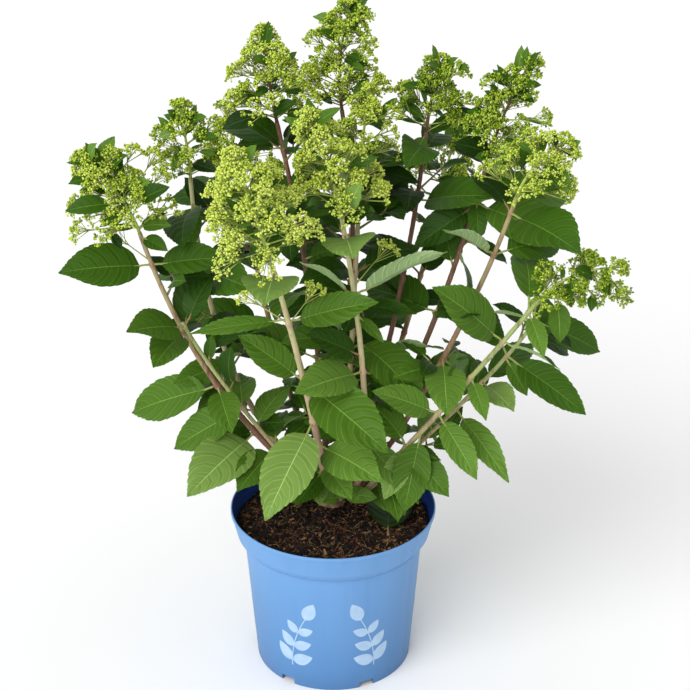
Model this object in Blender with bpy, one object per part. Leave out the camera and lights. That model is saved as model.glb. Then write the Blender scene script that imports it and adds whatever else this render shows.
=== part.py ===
"""A panicle hydrangea in a round nursery pot, in metres with +Z up.

The origin is the middle of the pot's flat underside, +X is the plant's right and
-Y its front.  Canes rise from one woody stump.  Each cane is a bare limb, then a
leafy stretch with opposite leaves, and most end in a cone of flower buds.
"""
import math
import random
from collections import namedtuple

import bmesh
import bpy
from mathutils import Vector
from mathutils.bvhtree import BVHTree

MM = 0.001
GAP = 0.3 * MM

# The pot: a 5 litre nursery pot with a collar, a skirt and drain notches.
POT_HEIGHT = 190 * MM
POT_FOOT_RADIUS = 88.5 * MM
POT_COLLAR_FOOT_RADIUS = 100 * MM
POT_COLLAR_RADIUS = 109 * MM
POT_RIM_RADIUS = 115 * MM
POT_COLLAR_HEIGHT = 39 * MM
POT_WALL = 2.2 * MM
POT_FLOOR_RADIUS = 60 * MM
POT_GUTTER_HEIGHT = 8 * MM
POT_SEGMENTS = 32
NOTCH_COUNT = 6
NOTCH_WIDTH = 17 * MM
NOTCH_HEIGHT = 7.5 * MM
NOTCH_TURN = -5

# The compost, a little below the rim, flat round the stump.
SOIL_HEIGHT = 172 * MM
SOIL_FLAT_RADIUS = 56 * MM
SOIL_LUMP = 2.5 * MM
SOIL_SEGMENTS = 24

# The stump: a short knobby trunk that leans forward and flares at the compost.
STUMP_FLARE_RADIUS = 17 * MM
STUMP_WAIST_RADIUS = 9 * MM
STUMP_TOP_RADIUS = 12 * MM
STUMP_FOOT = Vector((-2, 34)) * MM
STUMP_TOP = Vector((4, 6)) * MM
STUMP_TOP_HEIGHT = 206 * MM
CANE_STUB_LENGTH = 20 * MM
SHOOT_STUB_LENGTH = 5 * MM

# Stems, leaves and flower heads.
STEM_SIDES = 5
CANE_TIP_THICKNESS = 4.6 * MM
STEM_RING_STEP = 46 * MM
PETIOLE_LENGTH = 17 * MM
PETIOLE_RADIUS = 1.2 * MM
PETIOLE_SPREAD = 62
BLADE_STATIONS = (0.18, 0.45, 0.75)
LEAF_WIDTH_SHARE = 0.57
LEAF_THICKNESS_SHARE = 0.022
LEAF_FOLD = 14
LEAF_DROOP = 38
LEAF_RISE = 9
LEAF_LEVELLING = 0.5
FORWARD_SWING = 18
LIGHT = Vector((0.0, -0.65, 1.0))
OPENNESS = 0.4
RACHIS_RADIUS = 1.9 * MM
BRANCH_RADIUS = 1.0 * MM
TIER_SPACING = 27
LUMP_SPACING = 78 * MM
LUMP_RADIUS = 17 * MM
BRACT_LENGTH = 30 * MM
BRACT_STATIONS = (0.4,)
BRACT_STALK_RADIUS = 0.7 * MM
PLANT_SEED = 11

# Sizes in millimetres: where the cane leaves the stump, where its leafy stretch
# ends, how far its middle bows and its thickness at the foot.  Each pair of opposite
# leaves is its share of the cane's length, the turn of its first leaf round the cane in
# degrees from the plant's right, then for either leaf the blade's length and how many
# degrees more than usual it rises.  A flower head is its length, its width and how far
# it nods right and back, in degrees.  A side spray is its share, its turn and its reach.
Cane = namedtuple("Cane", "name foot tip bow thick pairs head sprays")
CANES = (
    Cane("far_left", (-16, 2, 208), (-195, -30, 525), (-18, -22), 8.0,
         ((0.30, 240, 102, -5, 62, 0), (0.50, 148, 102, -22, 66, -28),
          (0.70, 250, 70, -10, 84, -26), (0.91, 178, 88, 0, 76, -8)),
         (112, 108, -36, 0), ((0.92, 150, 46),)),
    Cane("left_thin", (-16, -10, 205), (-155, -40, 430), (-18, 16), 5.0,
         ((0.24, 255, 76, 0, 60, -10), (0.45, 265, 56, 0, 84, -15), (0.72, 250, 90, -30, 86, -15),
          (0.97, 225, 76, 20, 56, 30)), None, ()),
    Cane("left_back", (-14, 12, 210), (-150, 55, 555), (-28, -42), 7.5,
         ((0.35, 135, 62, 30, 94, -5), (0.52, 235, 88, 8, 66, -18),
          (0.76, 305, 98, -5, 80, -20), (0.92, 262, 78, -18, 84, 0)),
         (86, 90, -8, 0), ()),
    Cane("front_left", (-5, -14, 212), (-60, -110, 530), (2, 8), 9.0,
         ((0.21, 320, 90, 0, 60, -28), (0.31, 235, 106, -30, 60, -5),
          (0.48, 160, 76, 28, 104, -30), (0.72, 190, 90, 5, 86, 5),
          (0.93, 273, 78, 10, 70, -5)),
         (140, 136, -4, 0), ((0.72, 165, 48), (0.72, 15, 44))),
    Cane("front_middle", (22, -12, 208), (10, -55, 550), (18, -42), 8.5,
         ((0.34, 0, 62, -25, 68, -25), (0.60, 215, 82, -10, 62, -25),
          (0.82, 160, 62, 22, 100, 18), (0.96, 285, 82, 0, 64, 0)),
         (128, 112, -16, 0), ((0.84, 10, 52),)),
    Cane("middle", (12, 4, 210), (30, 25, 580), (0, 0), 6.5,
         ((0.45, 125, 68, -12, 96, -28), (0.68, 35, 72, 0, 68, -8),
          (0.90, 65, 86, 0, 68, 5)), (86, 92, 6, 0), ()),
    Cane("tall_back", (4, 20, 208), (10, 105, 615), (16, 0), 7.5,
         ((0.40, 60, 82, 0, 80, 0), (0.60, 150, 82, 0, 84, -5), (0.80, 50, 84, 0, 78, 0),
          (0.94, 150, 66, 0, 62, 0)), (128, 112, 26, 0), ()),
    Cane("centre_left", (-8, 16, 210), (-58, 62, 615), (12, -12), 7.5,
         ((0.38, 150, 82, 0, 76, 0), (0.56, 60, 84, 0, 82, -5), (0.74, 150, 80, 0, 76, 0),
          (0.93, 125, 84, 0, 60, 30)), (104, 112, 9, 0), ()),
    Cane("centre_right", (18, 16, 206), (100, 90, 595), (10, 2), 6.5,
         ((0.38, 130, 60, 5, 96, 15), (0.59, 100, 78, 0, 72, 0), (0.81, 150, 66, 10, 88, 10),
          (0.94, 255, 82, -10, 72, -5)), (86, 108, 10, 0), ()),
    Cane("right_back", (24, 8, 205), (160, 35, 575), (10, -6), 7.5,
         ((0.38, 20, 76, 0, 74, 0), (0.58, 112, 82, -10, 72, -10),
          (0.76, 264, 82, -20, 78, 0), (0.90, 25, 96, -10, 62, -12)),
         (130, 98, 14, 0), ()),
    Cane("right", (24, -2, 203), (185, -35, 565), (16, 2), 7.0,
         ((0.33, 300, 72, 0, 68, 0), (0.48, 235, 88, 0, 62, 0), (0.65, 50, 66, -10, 84, 16),
          (0.82, 35, 76, -5, 82, 18), (0.95, 300, 102, 0, 62, 0)),
         (86, 112, 40, 0), ((0.97, 160, 44),)),
    Cane("right_low", (24, -10, 200), (206, -85, 474), (10, 8), 6.5,
         ((0.26, 300, 62, -10, 58, 0), (0.43, 135, 82, -26, 70, -28),
          (0.61, 282, 60, -18, 82, -22), (0.79, 150, 84, 10, 62, 0),
          (0.94, 280, 58, -28, 80, 0)),
         (104, 72, 62, 0), ()),
    Cane("right_thin", (28, -4, 198), (215, -15, 425), (32, 26), 5.0,
         ((0.23, 265, 86, -10, 62, 0), (0.40, 290, 94, -20, 78, -26), (0.54, 65, 92, 10, 80, 0),
          (0.70, 345, 88, -22, 70, 0), (0.97, 25, 76, -22, 82, 5)), None, ()),
    Cane("rear_left", (-12, 26, 204), (-105, 185, 500), (-8, -12), 7.5,
         ((0.36, 90, 86, -10, 80, -10), (0.56, 180, 90, -5, 84, -5),
          (0.76, 90, 86, 0, 90, -5), (0.93, 180, 80, 0, 74, 0)), (108, 104, -8, 8), ()),
    Cane("rear_right", (14, 28, 204), (120, 185, 480), (8, -10), 7.5,
         ((0.36, 20, 88, -10, 80, -10), (0.56, 110, 86, -5, 90, -5),
          (0.76, 20, 90, 0, 84, 0), (0.93, 110, 78, 0, 82, 0)), (100, 100, 8, 8), ()),
    Cane("rear_thin", (2, 32, 200), (20, 215, 440), (4, -16), 5.5,
         ((0.38, 50, 78, -10, 84, -10), (0.60, 140, 84, -5, 80, 0), (0.80, 50, 80, 0, 86, 0),
          (0.97, 140, 74, 0, 68, 0)), None, ()),
)

# Short leafy shoots at the foot: the same columns as a cane.
SHOOTS = (
    Cane("low_front", (8, -12, 200), (5, -22, 221), (2, 0), 3.4,
         ((0.50, 220, 30, 12, 38, -5), (0.97, 325, 42, 10, 36, 30)), None, ()),
    Cane("low_right", (13, 18, 187), (50, 18, 217), (0, 2), 3.4,
         ((0.50, 278, 48, 5, 42, 0), (0.97, 298, 52, -25, 44, 0)), None, ()),
    Cane("low_left", (-13, -4, 200), (-18, -14, 232), (0, 2), 3.4,
         ((0.55, 140, 40, 0, 38, 0), (0.97, 240, 46, 0, 44, 5)), None, ()),
    Cane("low_back", (-6, 30, 192), (-14, 62, 224), (0, 4), 3.4,
         ((0.55, 30, 56, 0, 52, 0), (0.97, 120, 54, 0, 58, 0)), None, ()),
)

Leaf = namedtuple("Leaf", "root base heading face droop length width")
Finger = namedtuple("Finger", "root tip radius")


def remove_everything():
    for item in list(bpy.data.objects):
        bpy.data.objects.remove(item, do_unlink=True)


def make_material(name, colour, roughness):
    material = bpy.data.materials.new(name)
    material.use_nodes = True
    shader = material.node_tree.nodes["Principled BSDF"]
    shader.inputs["Base Color"].default_value = (*colour, 1.0)
    shader.inputs["Roughness"].default_value = roughness
    shader.inputs["Metallic"].default_value = 0.0
    return material


def add_object(name, verts, faces, material=None):
    """One closed mesh as an object, its faces turned outwards."""
    mesh = bpy.data.meshes.new(name)
    mesh.from_pydata([tuple(v) for v in verts], [], faces)
    shell = bmesh.new()
    shell.from_mesh(mesh)
    bmesh.ops.recalc_face_normals(shell, faces=shell.faces[:])
    shell.to_mesh(mesh)
    shell.free()
    item = bpy.data.objects.new(name, mesh)
    bpy.context.scene.collection.objects.link(item)
    if material:
        mesh.materials.append(material)
    return item


def across(direction, turn=0.0):
    """Two directions square to this one, the first turned from +X."""
    lead = Vector((1.0, 0.0, 0.0))
    if abs(direction.x) > 0.9:
        lead = Vector((0.0, 0.0, 1.0))
    first = (lead - direction * lead.dot(direction)).normalized()
    second = direction.cross(first)
    angle = math.radians(turn)
    return (first * math.cos(angle) + second * math.sin(angle),
            second * math.cos(angle) - first * math.sin(angle))


def cane_point(cane, share):
    """The cane's middle line: one even bow from its foot to its tip."""
    foot = Vector(cane.foot) * MM
    tip = Vector(cane.tip) * MM
    pull = (foot + tip) / 2 + Vector((cane.bow[0], 0, cane.bow[1])) * 2 * MM
    return foot * (1 - share) ** 2 + pull * 2 * share * (1 - share) + tip * share ** 2


def cane_direction(cane, share):
    step = 0.01
    return (cane_point(cane, share + step) - cane_point(cane, share - step)).normalized()


def cane_length(cane):
    return (cane_point(cane, 1) - cane_point(cane, 0)).length


def cane_radius(cane, share):
    thin = min(CANE_TIP_THICKNESS, 0.8 * cane.thick * MM)
    return (cane.thick * MM + (thin - cane.thick * MM) * share) / 2


def tube(points, radii, sides, directions=None):
    """A closed round stem through the points, with flat ends."""
    verts = []
    for index, point in enumerate(points):
        if directions:
            direction = directions[index]
        else:
            before = points[max(index - 1, 0)]
            after = points[min(index + 1, len(points) - 1)]
            direction = (after - before).normalized()
        first, second = across(direction)
        for side in range(sides):
            angle = math.tau * side / sides
            round_it = first * math.cos(angle) + second * math.sin(angle)
            verts.append(point + round_it * radii[index])
    faces = []
    for ring in range(len(points) - 1):
        for side in range(sides):
            a = ring * sides + side
            b = ring * sides + (side + 1) % sides
            faces.append((a, b, b + sides, a + sides))
    faces.append(tuple(reversed(range(sides))))
    last = (len(points) - 1) * sides
    faces.append(tuple(range(last, last + sides)))
    return verts, faces


def cane_tube(cane, start, end, spare=0.0):
    """A stretch of a cane between two shares of its length."""
    count = max(1, round(cane_length(cane) * (end - start) / STEM_RING_STEP))
    shares = [start + (end - start) * index / count for index in range(count + 1)]
    return tube([cane_point(cane, share) for share in shares],
                [cane_radius(cane, share) + spare for share in shares], STEM_SIDES,
                [cane_direction(cane, share) for share in shares])


def share_of(cane, length):
    return length / cane_length(cane)


def blade_point(leaf, share, side=0.0, lift=0.0):
    """A point on a blade that arches about its own face."""
    bend = leaf.droop * share
    along = leaf.heading * math.sin(bend) - leaf.face * (1 - math.cos(bend))
    place = leaf.base + along * (leaf.length / leaf.droop)
    up = leaf.face * math.cos(bend) + leaf.heading * math.sin(bend)
    flank = leaf.heading.cross(leaf.face)
    fold = math.radians(LEAF_FOLD)
    return (place + flank * side * math.cos(fold)
            + up * (abs(side) * math.sin(fold) + lift))


def blade_half_width(leaf, share):
    """Broadest below the middle, drawn out to a point."""
    outline = math.sin(math.pi * share ** 0.8) ** 0.9 * (1 - 0.25 * share ** 3)
    return leaf.width / 2 * outline


def leaf_shape(leaf, stations, spare=0.0, stalk=PETIOLE_RADIUS):
    """A closed leaf: its stalk from the stem's middle, then the blade to its tip."""
    half_thickness = leaf.length * LEAF_THICKNESS_SHARE / 2 + spare
    sections = []
    way = (leaf.base - leaf.root).normalized()
    flank = way.cross(leaf.face).normalized()
    lift = flank.cross(way)
    for point in (leaf.root, leaf.base):
        radius = stalk + spare
        sections.append((point - flank * radius, point + lift * radius,
                         point + flank * radius, point - lift * radius))
    for share in stations:
        half = blade_half_width(leaf, share) + spare
        thick = half_thickness * (1.1 - 0.6 * share)
        sections.append((blade_point(leaf, share, -half), blade_point(leaf, share, 0, thick),
                         blade_point(leaf, share, half), blade_point(leaf, share, 0, -thick)))
    verts = [point for section in sections for point in section]
    verts.append(blade_point(leaf, 1.0))
    last = 4 * (len(sections) - 1)
    faces = [(3, 2, 1, 0)]
    for corner in range(4):
        turn = (corner + 1) % 4
        for start in range(0, last, 4):
            faces.append((start + corner, start + turn, start + turn + 4, start + corner + 4))
        faces.append((last + corner, last + turn, len(verts) - 1))
    return verts, faces


def propose_leaf(cane, share, turn, length, rise, sway):
    """A leaf whose blade swings forward, levels out and opens to the light."""
    stem = cane_direction(cane, share)
    swing = FORWARD_SWING * math.sin(math.radians(turn - 270))
    outwards, _ = across(stem, turn - swing)
    spread = math.radians(PETIOLE_SPREAD)
    stalk = stem * math.cos(spread) + outwards * math.sin(spread)
    root = cane_point(cane, share)
    base = root + stalk * (PETIOLE_LENGTH * length / 0.09)
    pitch = math.radians(LEAF_RISE + rise) + LEAF_LEVELLING * math.asin(stalk.z)
    flat = Vector((stalk.x, stalk.y, 0.0)).normalized()
    heading = flat * math.cos(pitch) + Vector((0, 0, math.sin(pitch)))
    open_side = Vector((base.x, base.y, 0.0)).normalized() * OPENNESS
    light = LIGHT + open_side + Vector((sway, 0.0, 0.0))
    face = (light - heading * light.dot(heading)).normalized()
    return Leaf(root, base, heading, face, math.radians(LEAF_DROOP), length,
                length * LEAF_WIDTH_SHARE)


def shape_tree(shape):
    verts, faces = shape
    return BVHTree.FromPolygons([tuple(v) for v in verts], faces)


def surface_tree(item):
    """The same test surface from an object, whose corners lie in the plant's frame."""
    faces = [tuple(face.vertices) for face in item.data.polygons]
    return BVHTree.FromPolygons([vert.co.copy() for vert in item.data.vertices], faces)


def is_clear(shape, taken, own=()):
    tree = shape_tree(shape)
    return not any(tree.overlap(other) for owner, other in taken if owner not in own)


NUDGES = ((0, 0), (14, 0), (-14, 0), (0, 14), (0, -14), (26, 8), (-26, 8), (26, -12),
          (-26, -12), (0, 28), (40, 0), (-40, 0))


def grow_leaf(cane, share, turn, length, rise, sway, taken):
    """The first nudge of a leaf that touches nothing, or none at all."""
    stem_name = "stem_" + cane.name
    pair = f"pair_{cane.name}_{share}"
    for extra_turn, extra_rise in NUDGES:
        leaf = propose_leaf(cane, share, turn + extra_turn, length, rise + extra_rise, sway)
        test = leaf_shape(leaf, BLADE_STATIONS, GAP)
        if is_clear(test, taken, (stem_name, pair)):
            taken.append((pair, shape_tree(test)))
            return leaf
    return None


def head_axis(cane, share):
    """A point and a direction on the flower head's own stalk, which nods evenly."""
    length, _, nod_right, nod_back = cane.head
    start = cane_point(cane, 1.0)
    rise = cane_direction(cane, 1.0)
    away = Vector((nod_right, nod_back, 0.0))
    bend = math.radians(away.length)
    away = (away - rise * away.dot(rise)).normalized()
    angle = bend * share
    reach = 0.86 * length * MM / bend
    place = start + rise * (reach * math.sin(angle)) + away * (reach * (1 - math.cos(angle)))
    return place, rise * math.cos(angle) + away * math.sin(angle)


def head_fingers(cane, rng):
    """The branches of a flower head: tiers that shorten upwards to a cone."""
    length, width, _, _ = cane.head
    tiers = max(3, round(length / TIER_SPACING))
    fingers = []
    turn = rng.uniform(0, 360)
    for tier in range(tiers):
        share = 0.04 + 0.80 * tier / tiers
        reach = (width / 2 * MM - 0.55 * LUMP_RADIUS) * (1 - 0.80 * share) ** 0.9
        count = max(2, round(math.tau * reach / LUMP_SPACING))
        root, axis = head_axis(cane, share)
        lean = math.radians(68 - 26 * share)
        radius = LUMP_RADIUS * (1.0 - 0.35 * share)
        for index in range(count):
            around = turn + 360 * index / count + rng.uniform(-14, 14)
            outwards, _ = across(axis, around)
            way = axis * math.cos(lean) + outwards * math.sin(lean)
            grown = reach * rng.uniform(0.84, 1.05)
            start, _ = head_axis(cane, share + 0.03 * index)
            fingers.append(Finger(start, root + way * grown, radius * rng.uniform(0.88, 1.1)))
        turn += 90
    root, axis = head_axis(cane, 0.86)
    top, axis = head_axis(cane, 1.0)
    fingers.append(Finger(root, top + axis * 3 * MM, LUMP_RADIUS * 0.62))
    return fingers


def side_spray(cane, spray):
    """A small cluster of buds on a long stalk from a leaf's axil."""
    share, turn, reach = spray
    stem = cane_direction(cane, share)
    outwards, _ = across(stem, turn)
    root = cane_point(cane, share)
    way = (stem * 0.7 + outwards * 0.75).normalized()
    tip = root + way * reach * MM
    return Finger(root, tip, LUMP_RADIUS * 0.85)


def finger_shape(finger, spare=0.0):
    """A three-sided branch that opens into a six-sided cluster of buds."""
    way = (finger.tip - finger.root).normalized()
    first, second = across(way)
    axis = (way + Vector((0, 0, 0.5))).normalized()
    wide, deep = across(axis)
    radius = finger.radius + spare
    stalk = BRANCH_RADIUS + spare
    neck = finger.tip - way * radius * 0.75
    verts = []
    for point, size in ((finger.root, stalk * 1.2), (neck, stalk * 1.6)):
        for side in range(3):
            angle = math.tau * side / 3
            verts.append(point + (first * math.cos(angle) + second * math.sin(angle)) * size)
    start = math.atan2(first.dot(deep), first.dot(wide))
    for side in range(6):
        angle = start + math.tau * side / 6
        verts.append(finger.tip + (wide * math.cos(angle) + deep * math.sin(angle)) * radius)
    verts.append(finger.tip + axis * radius * 0.6)
    faces = [(2, 1, 0)]
    for side in range(3):
        after = (side + 1) % 3
        faces.append((side, after, 3 + after, 3 + side))
        near, middle, far = 6 + 2 * side, 7 + 2 * side, 6 + (2 * side + 2) % 6
        faces += [(3 + side, middle, near), (3 + side, 3 + after, middle),
                  (3 + after, far, middle), (near, middle, 12), (middle, far, 12)]
    return verts, faces


def grow_fingers(fingers, taken, own):
    """Keep the branches whose stalk and cluster touch no other piece."""
    kept = []
    for finger in fingers:
        shape = finger_shape(finger, 2 * GAP)
        if is_clear(shape, taken, own):
            kept.append(finger)
            taken.append((own[0], shape_tree(shape)))
    return kept


def head_bracts(cane, rng):
    """Small leaves at the foot of a flower head's lowest branches."""
    bracts = []
    for tier, share in enumerate((0.06, 0.36)):
        root, axis = head_axis(cane, share)
        turn = rng.uniform(0, 360)
        for side in (0, 180):
            outwards, _ = across(axis, turn + side)
            heading = (outwards + axis * 0.35).normalized()
            light = axis + LIGHT * 0.5
            face = (light - heading * light.dot(heading)).normalized()
            length = BRACT_LENGTH * (1.0 - 0.35 * tier) * rng.uniform(0.85, 1.15)
            base = root + heading * 4 * MM
            bracts.append(Leaf(root, base, heading, face, math.radians(24), length,
                               length * 0.42))
    return bracts


def grow_bracts(cane, rng, taken, own):
    kept = []
    for leaf in head_bracts(cane, rng):
        test = leaf_shape(leaf, BRACT_STATIONS, GAP, BRACT_STALK_RADIUS)
        if is_clear(test, taken, own):
            kept.append(leaf)
            taken.append((own[0], shape_tree(test)))
    return kept


def first_leaf_share(cane):
    """Where the bare limb ends and the leafy stretch begins."""
    return cane.pairs[0][0] - share_of(cane, 9 * MM)


def stub_share(cane):
    """Where the stump's own stub ends and the cane or shoot begins."""
    return share_of(cane, SHOOT_STUB_LENGTH if cane in SHOOTS else CANE_STUB_LENGTH)


def fuse(name, core, shapes, material):
    """Join a stem and everything that grows on it into one closed body."""
    base = add_object(name, *core, material)
    if shapes:
        gathered = bpy.data.collections.new(name + "_pieces")
        bpy.context.scene.collection.children.link(gathered)
        for index, shape in enumerate(shapes):
            piece = add_object(f"{name}_{index}", *shape)
            gathered.objects.link(piece)
            bpy.context.scene.collection.objects.unlink(piece)
        union = base.modifiers.new("union", "BOOLEAN")
        union.operation = "UNION"
        union.operand_type = "COLLECTION"
        union.collection = gathered
        union.solver = "EXACT"
        bpy.context.view_layer.update()
        seen = base.evaluated_get(bpy.context.evaluated_depsgraph_get())
        joined = bpy.data.meshes.new_from_object(seen)
        base.modifiers.remove(union)
        base.data = joined
        for piece in list(gathered.objects):
            bpy.data.objects.remove(piece, do_unlink=True)
        bpy.data.collections.remove(gathered)
    keep_largest_shell(base)
    base.data.materials.clear()
    base.data.materials.append(material)
    return base


def keep_largest_shell(item):
    """Fill sealed hollows and drop loose scraps: only the outer body stays."""
    shell = bmesh.new()
    shell.from_mesh(item.data)
    shell.verts.ensure_lookup_table()
    seen = set()
    groups = []
    for start in shell.verts:
        if start in seen:
            continue
        group, queue = [], [start]
        seen.add(start)
        while queue:
            vert = queue.pop()
            group.append(vert)
            for edge in vert.link_edges:
                other = edge.other_vert(vert)
                if other not in seen:
                    seen.add(other)
                    queue.append(other)
        groups.append(group)
    groups.sort(key=len)
    for group in groups[:-1]:
        bmesh.ops.delete(shell, geom=group, context="VERTS")
    bmesh.ops.triangulate(shell, faces=shell.faces[:])
    shell.to_mesh(item.data)
    shell.free()


def turned(name, profile, segments, material):
    """A body of revolution from a profile that starts and ends on the axis."""
    shell = bmesh.new()
    verts = [shell.verts.new((radius, 0, height)) for radius, height in profile]
    edges = [shell.edges.new(pair) for pair in zip(verts, verts[1:])]
    bmesh.ops.spin(shell, geom=verts + edges, axis=(0, 0, 1), cent=(0, 0, 0),
                   angle=math.tau, steps=segments, use_merge=True, use_duplicate=False)
    bmesh.ops.remove_doubles(shell, verts=shell.verts[:], dist=1e-5)
    bmesh.ops.recalc_face_normals(shell, faces=shell.faces[:])
    mesh = bpy.data.meshes.new(name)
    shell.to_mesh(mesh)
    shell.free()
    item = bpy.data.objects.new(name, mesh)
    bpy.context.scene.collection.objects.link(item)
    mesh.materials.append(material)
    return item


def pot_wall_radius(height):
    """The outside of the tapered wall under the collar."""
    collar_foot = POT_HEIGHT - POT_COLLAR_HEIGHT
    rise = height / collar_foot
    return POT_FOOT_RADIUS + (POT_COLLAR_FOOT_RADIUS - POT_FOOT_RADIUS) * rise


def make_pot(material):
    """Thin-walled pot: flat middle underfoot, a gutter round it, skirt and collar."""
    collar_foot = POT_HEIGHT - POT_COLLAR_HEIGHT
    ledge = collar_foot + 12 * MM
    skirt_inner = POT_FOOT_RADIUS - POT_WALL
    gutter_top = POT_GUTTER_HEIGHT + POT_WALL
    profile = (
        (0, 0),
        (POT_FLOOR_RADIUS, 0),
        (POT_FLOOR_RADIUS + 2 * MM, POT_GUTTER_HEIGHT),
        (skirt_inner, POT_GUTTER_HEIGHT),
        (skirt_inner, 0),
        (POT_FOOT_RADIUS, 0),
        (POT_COLLAR_FOOT_RADIUS, collar_foot),
        (POT_COLLAR_RADIUS, ledge),
        (POT_RIM_RADIUS - 0.5 * MM, POT_HEIGHT - 3 * MM),
        (POT_RIM_RADIUS, POT_HEIGHT),
        (POT_RIM_RADIUS - POT_WALL, POT_HEIGHT),
        (POT_COLLAR_RADIUS - POT_WALL, ledge),
        (POT_COLLAR_FOOT_RADIUS - POT_WALL, collar_foot),
        (pot_wall_radius(gutter_top) - POT_WALL, gutter_top),
        (POT_FLOOR_RADIUS, gutter_top),
        (POT_FLOOR_RADIUS - 2 * MM, POT_WALL),
        (0, POT_WALL),
    )
    pot = turned("pot", profile, POT_SEGMENTS, material)
    for index in range(NOTCH_COUNT):
        cut_notch(pot, NOTCH_TURN + 360 * index / NOTCH_COUNT)
    return pot


def cut_notch(pot, turn):
    """A drain notch through the skirt."""
    outwards = Vector((math.cos(math.radians(turn)), math.sin(math.radians(turn)), 0))
    along = Vector((0, 0, 1)).cross(outwards) * NOTCH_WIDTH / 2
    inner, outer = outwards * (POT_FOOT_RADIUS - 8 * MM), outwards * (POT_FOOT_RADIUS + 6 * MM)
    low, high = Vector((0, 0, -1 * MM)), Vector((0, 0, NOTCH_HEIGHT))
    verts = [inner - along + low, inner + along + low, outer + along + low, outer - along + low,
             inner - along * 0.8 + high, inner + along * 0.8 + high,
             outer + along * 0.8 + high, outer - along * 0.8 + high]
    faces = [(0, 1, 2, 3), (4, 7, 6, 5), (0, 4, 5, 1), (1, 5, 6, 2), (2, 6, 7, 3), (3, 7, 4, 0)]
    cutter = add_object("notch", verts, faces)
    cut = pot.modifiers.new("notch", "BOOLEAN")
    cut.operation = "DIFFERENCE"
    cut.solver = "EXACT"
    cut.object = cutter
    bpy.context.view_layer.update()
    seen = pot.evaluated_get(bpy.context.evaluated_depsgraph_get())
    carved = bpy.data.meshes.new_from_object(seen)
    pot.modifiers.remove(cut)
    pot.data = carved
    bpy.data.objects.remove(cutter, do_unlink=True)


def make_soil(material):
    """Compost that fills the pot, lumpy on top and flat round the stump."""
    rng = random.Random(PLANT_SEED)
    collar_foot = POT_HEIGHT - POT_COLLAR_HEIGHT
    ledge = collar_foot + 12 * MM
    gutter_top = POT_GUTTER_HEIGHT + POT_WALL
    skin = POT_WALL + GAP
    taper = (POT_RIM_RADIUS - 1.5 * MM - POT_COLLAR_RADIUS) / (POT_HEIGHT - 4 * MM - ledge)
    top_radius = POT_COLLAR_RADIUS - skin - 0.6 * MM + taper * (SOIL_HEIGHT - ledge)
    profile = (
        (0, POT_WALL + GAP),
        (POT_FLOOR_RADIUS - 3 * MM, POT_WALL + GAP),
        (POT_FLOOR_RADIUS - 1 * MM, gutter_top + GAP),
        (pot_wall_radius(gutter_top) - skin - 0.5 * MM, gutter_top + GAP),
        (POT_COLLAR_FOOT_RADIUS - skin - 0.5 * MM, collar_foot),
        (POT_COLLAR_RADIUS - skin - 0.6 * MM, ledge),
        (top_radius, SOIL_HEIGHT - SOIL_LUMP),
        (0.75 * top_radius, SOIL_HEIGHT),
        (SOIL_FLAT_RADIUS, SOIL_HEIGHT),
        (0, SOIL_HEIGHT),
    )
    soil = turned("soil", profile, SOIL_SEGMENTS, material)
    for vert in soil.data.vertices:
        if vert.co.z > SOIL_HEIGHT - 0.1 * MM:
            if math.hypot(vert.co.x, vert.co.y) > SOIL_FLAT_RADIUS + 1 * MM:
                vert.co.z += rng.uniform(-SOIL_LUMP, SOIL_LUMP)
    return soil


def stump_middle(share, base):
    """The leaning trunk's middle line, from the compost to its top."""
    across_it = STUMP_FOOT.lerp(STUMP_TOP, share)
    return Vector((across_it.x, across_it.y, base + (STUMP_TOP_HEIGHT - base) * share))


def stump_shapes():
    """A flared foot with one short stub towards every cane and shoot."""
    base = SOIL_HEIGHT + GAP
    shares = (0, 0.12, 0.38, 0.8, 1.0)
    radii = (STUMP_FLARE_RADIUS, 0.72 * STUMP_FLARE_RADIUS, STUMP_WAIST_RADIUS,
             STUMP_TOP_RADIUS, STUMP_TOP_RADIUS * 0.7)
    upright = [Vector((0, 0, 1))] * len(shares)
    trunk = tube([stump_middle(share, base) for share in shares], radii, 9, upright)
    stubs = []
    for cane in CANES + SHOOTS:
        end = stub_share(cane)
        foot = cane_point(cane, 0)
        drop = STUMP_TOP_HEIGHT - foot.z + 14 * MM
        inside = stump_middle(1 - max(drop, 6 * MM) / (STUMP_TOP_HEIGHT - base), base)
        inside = inside.lerp(foot, 0.2)
        radius = cane_radius(cane, 0)
        stubs.append(tube([inside, cane_point(cane, end)],
                          [radius * 1.4, cane_radius(cane, end)], STEM_SIDES,
                          [(foot - inside).normalized(), cane_direction(cane, end)]))
    return trunk, stubs


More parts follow.
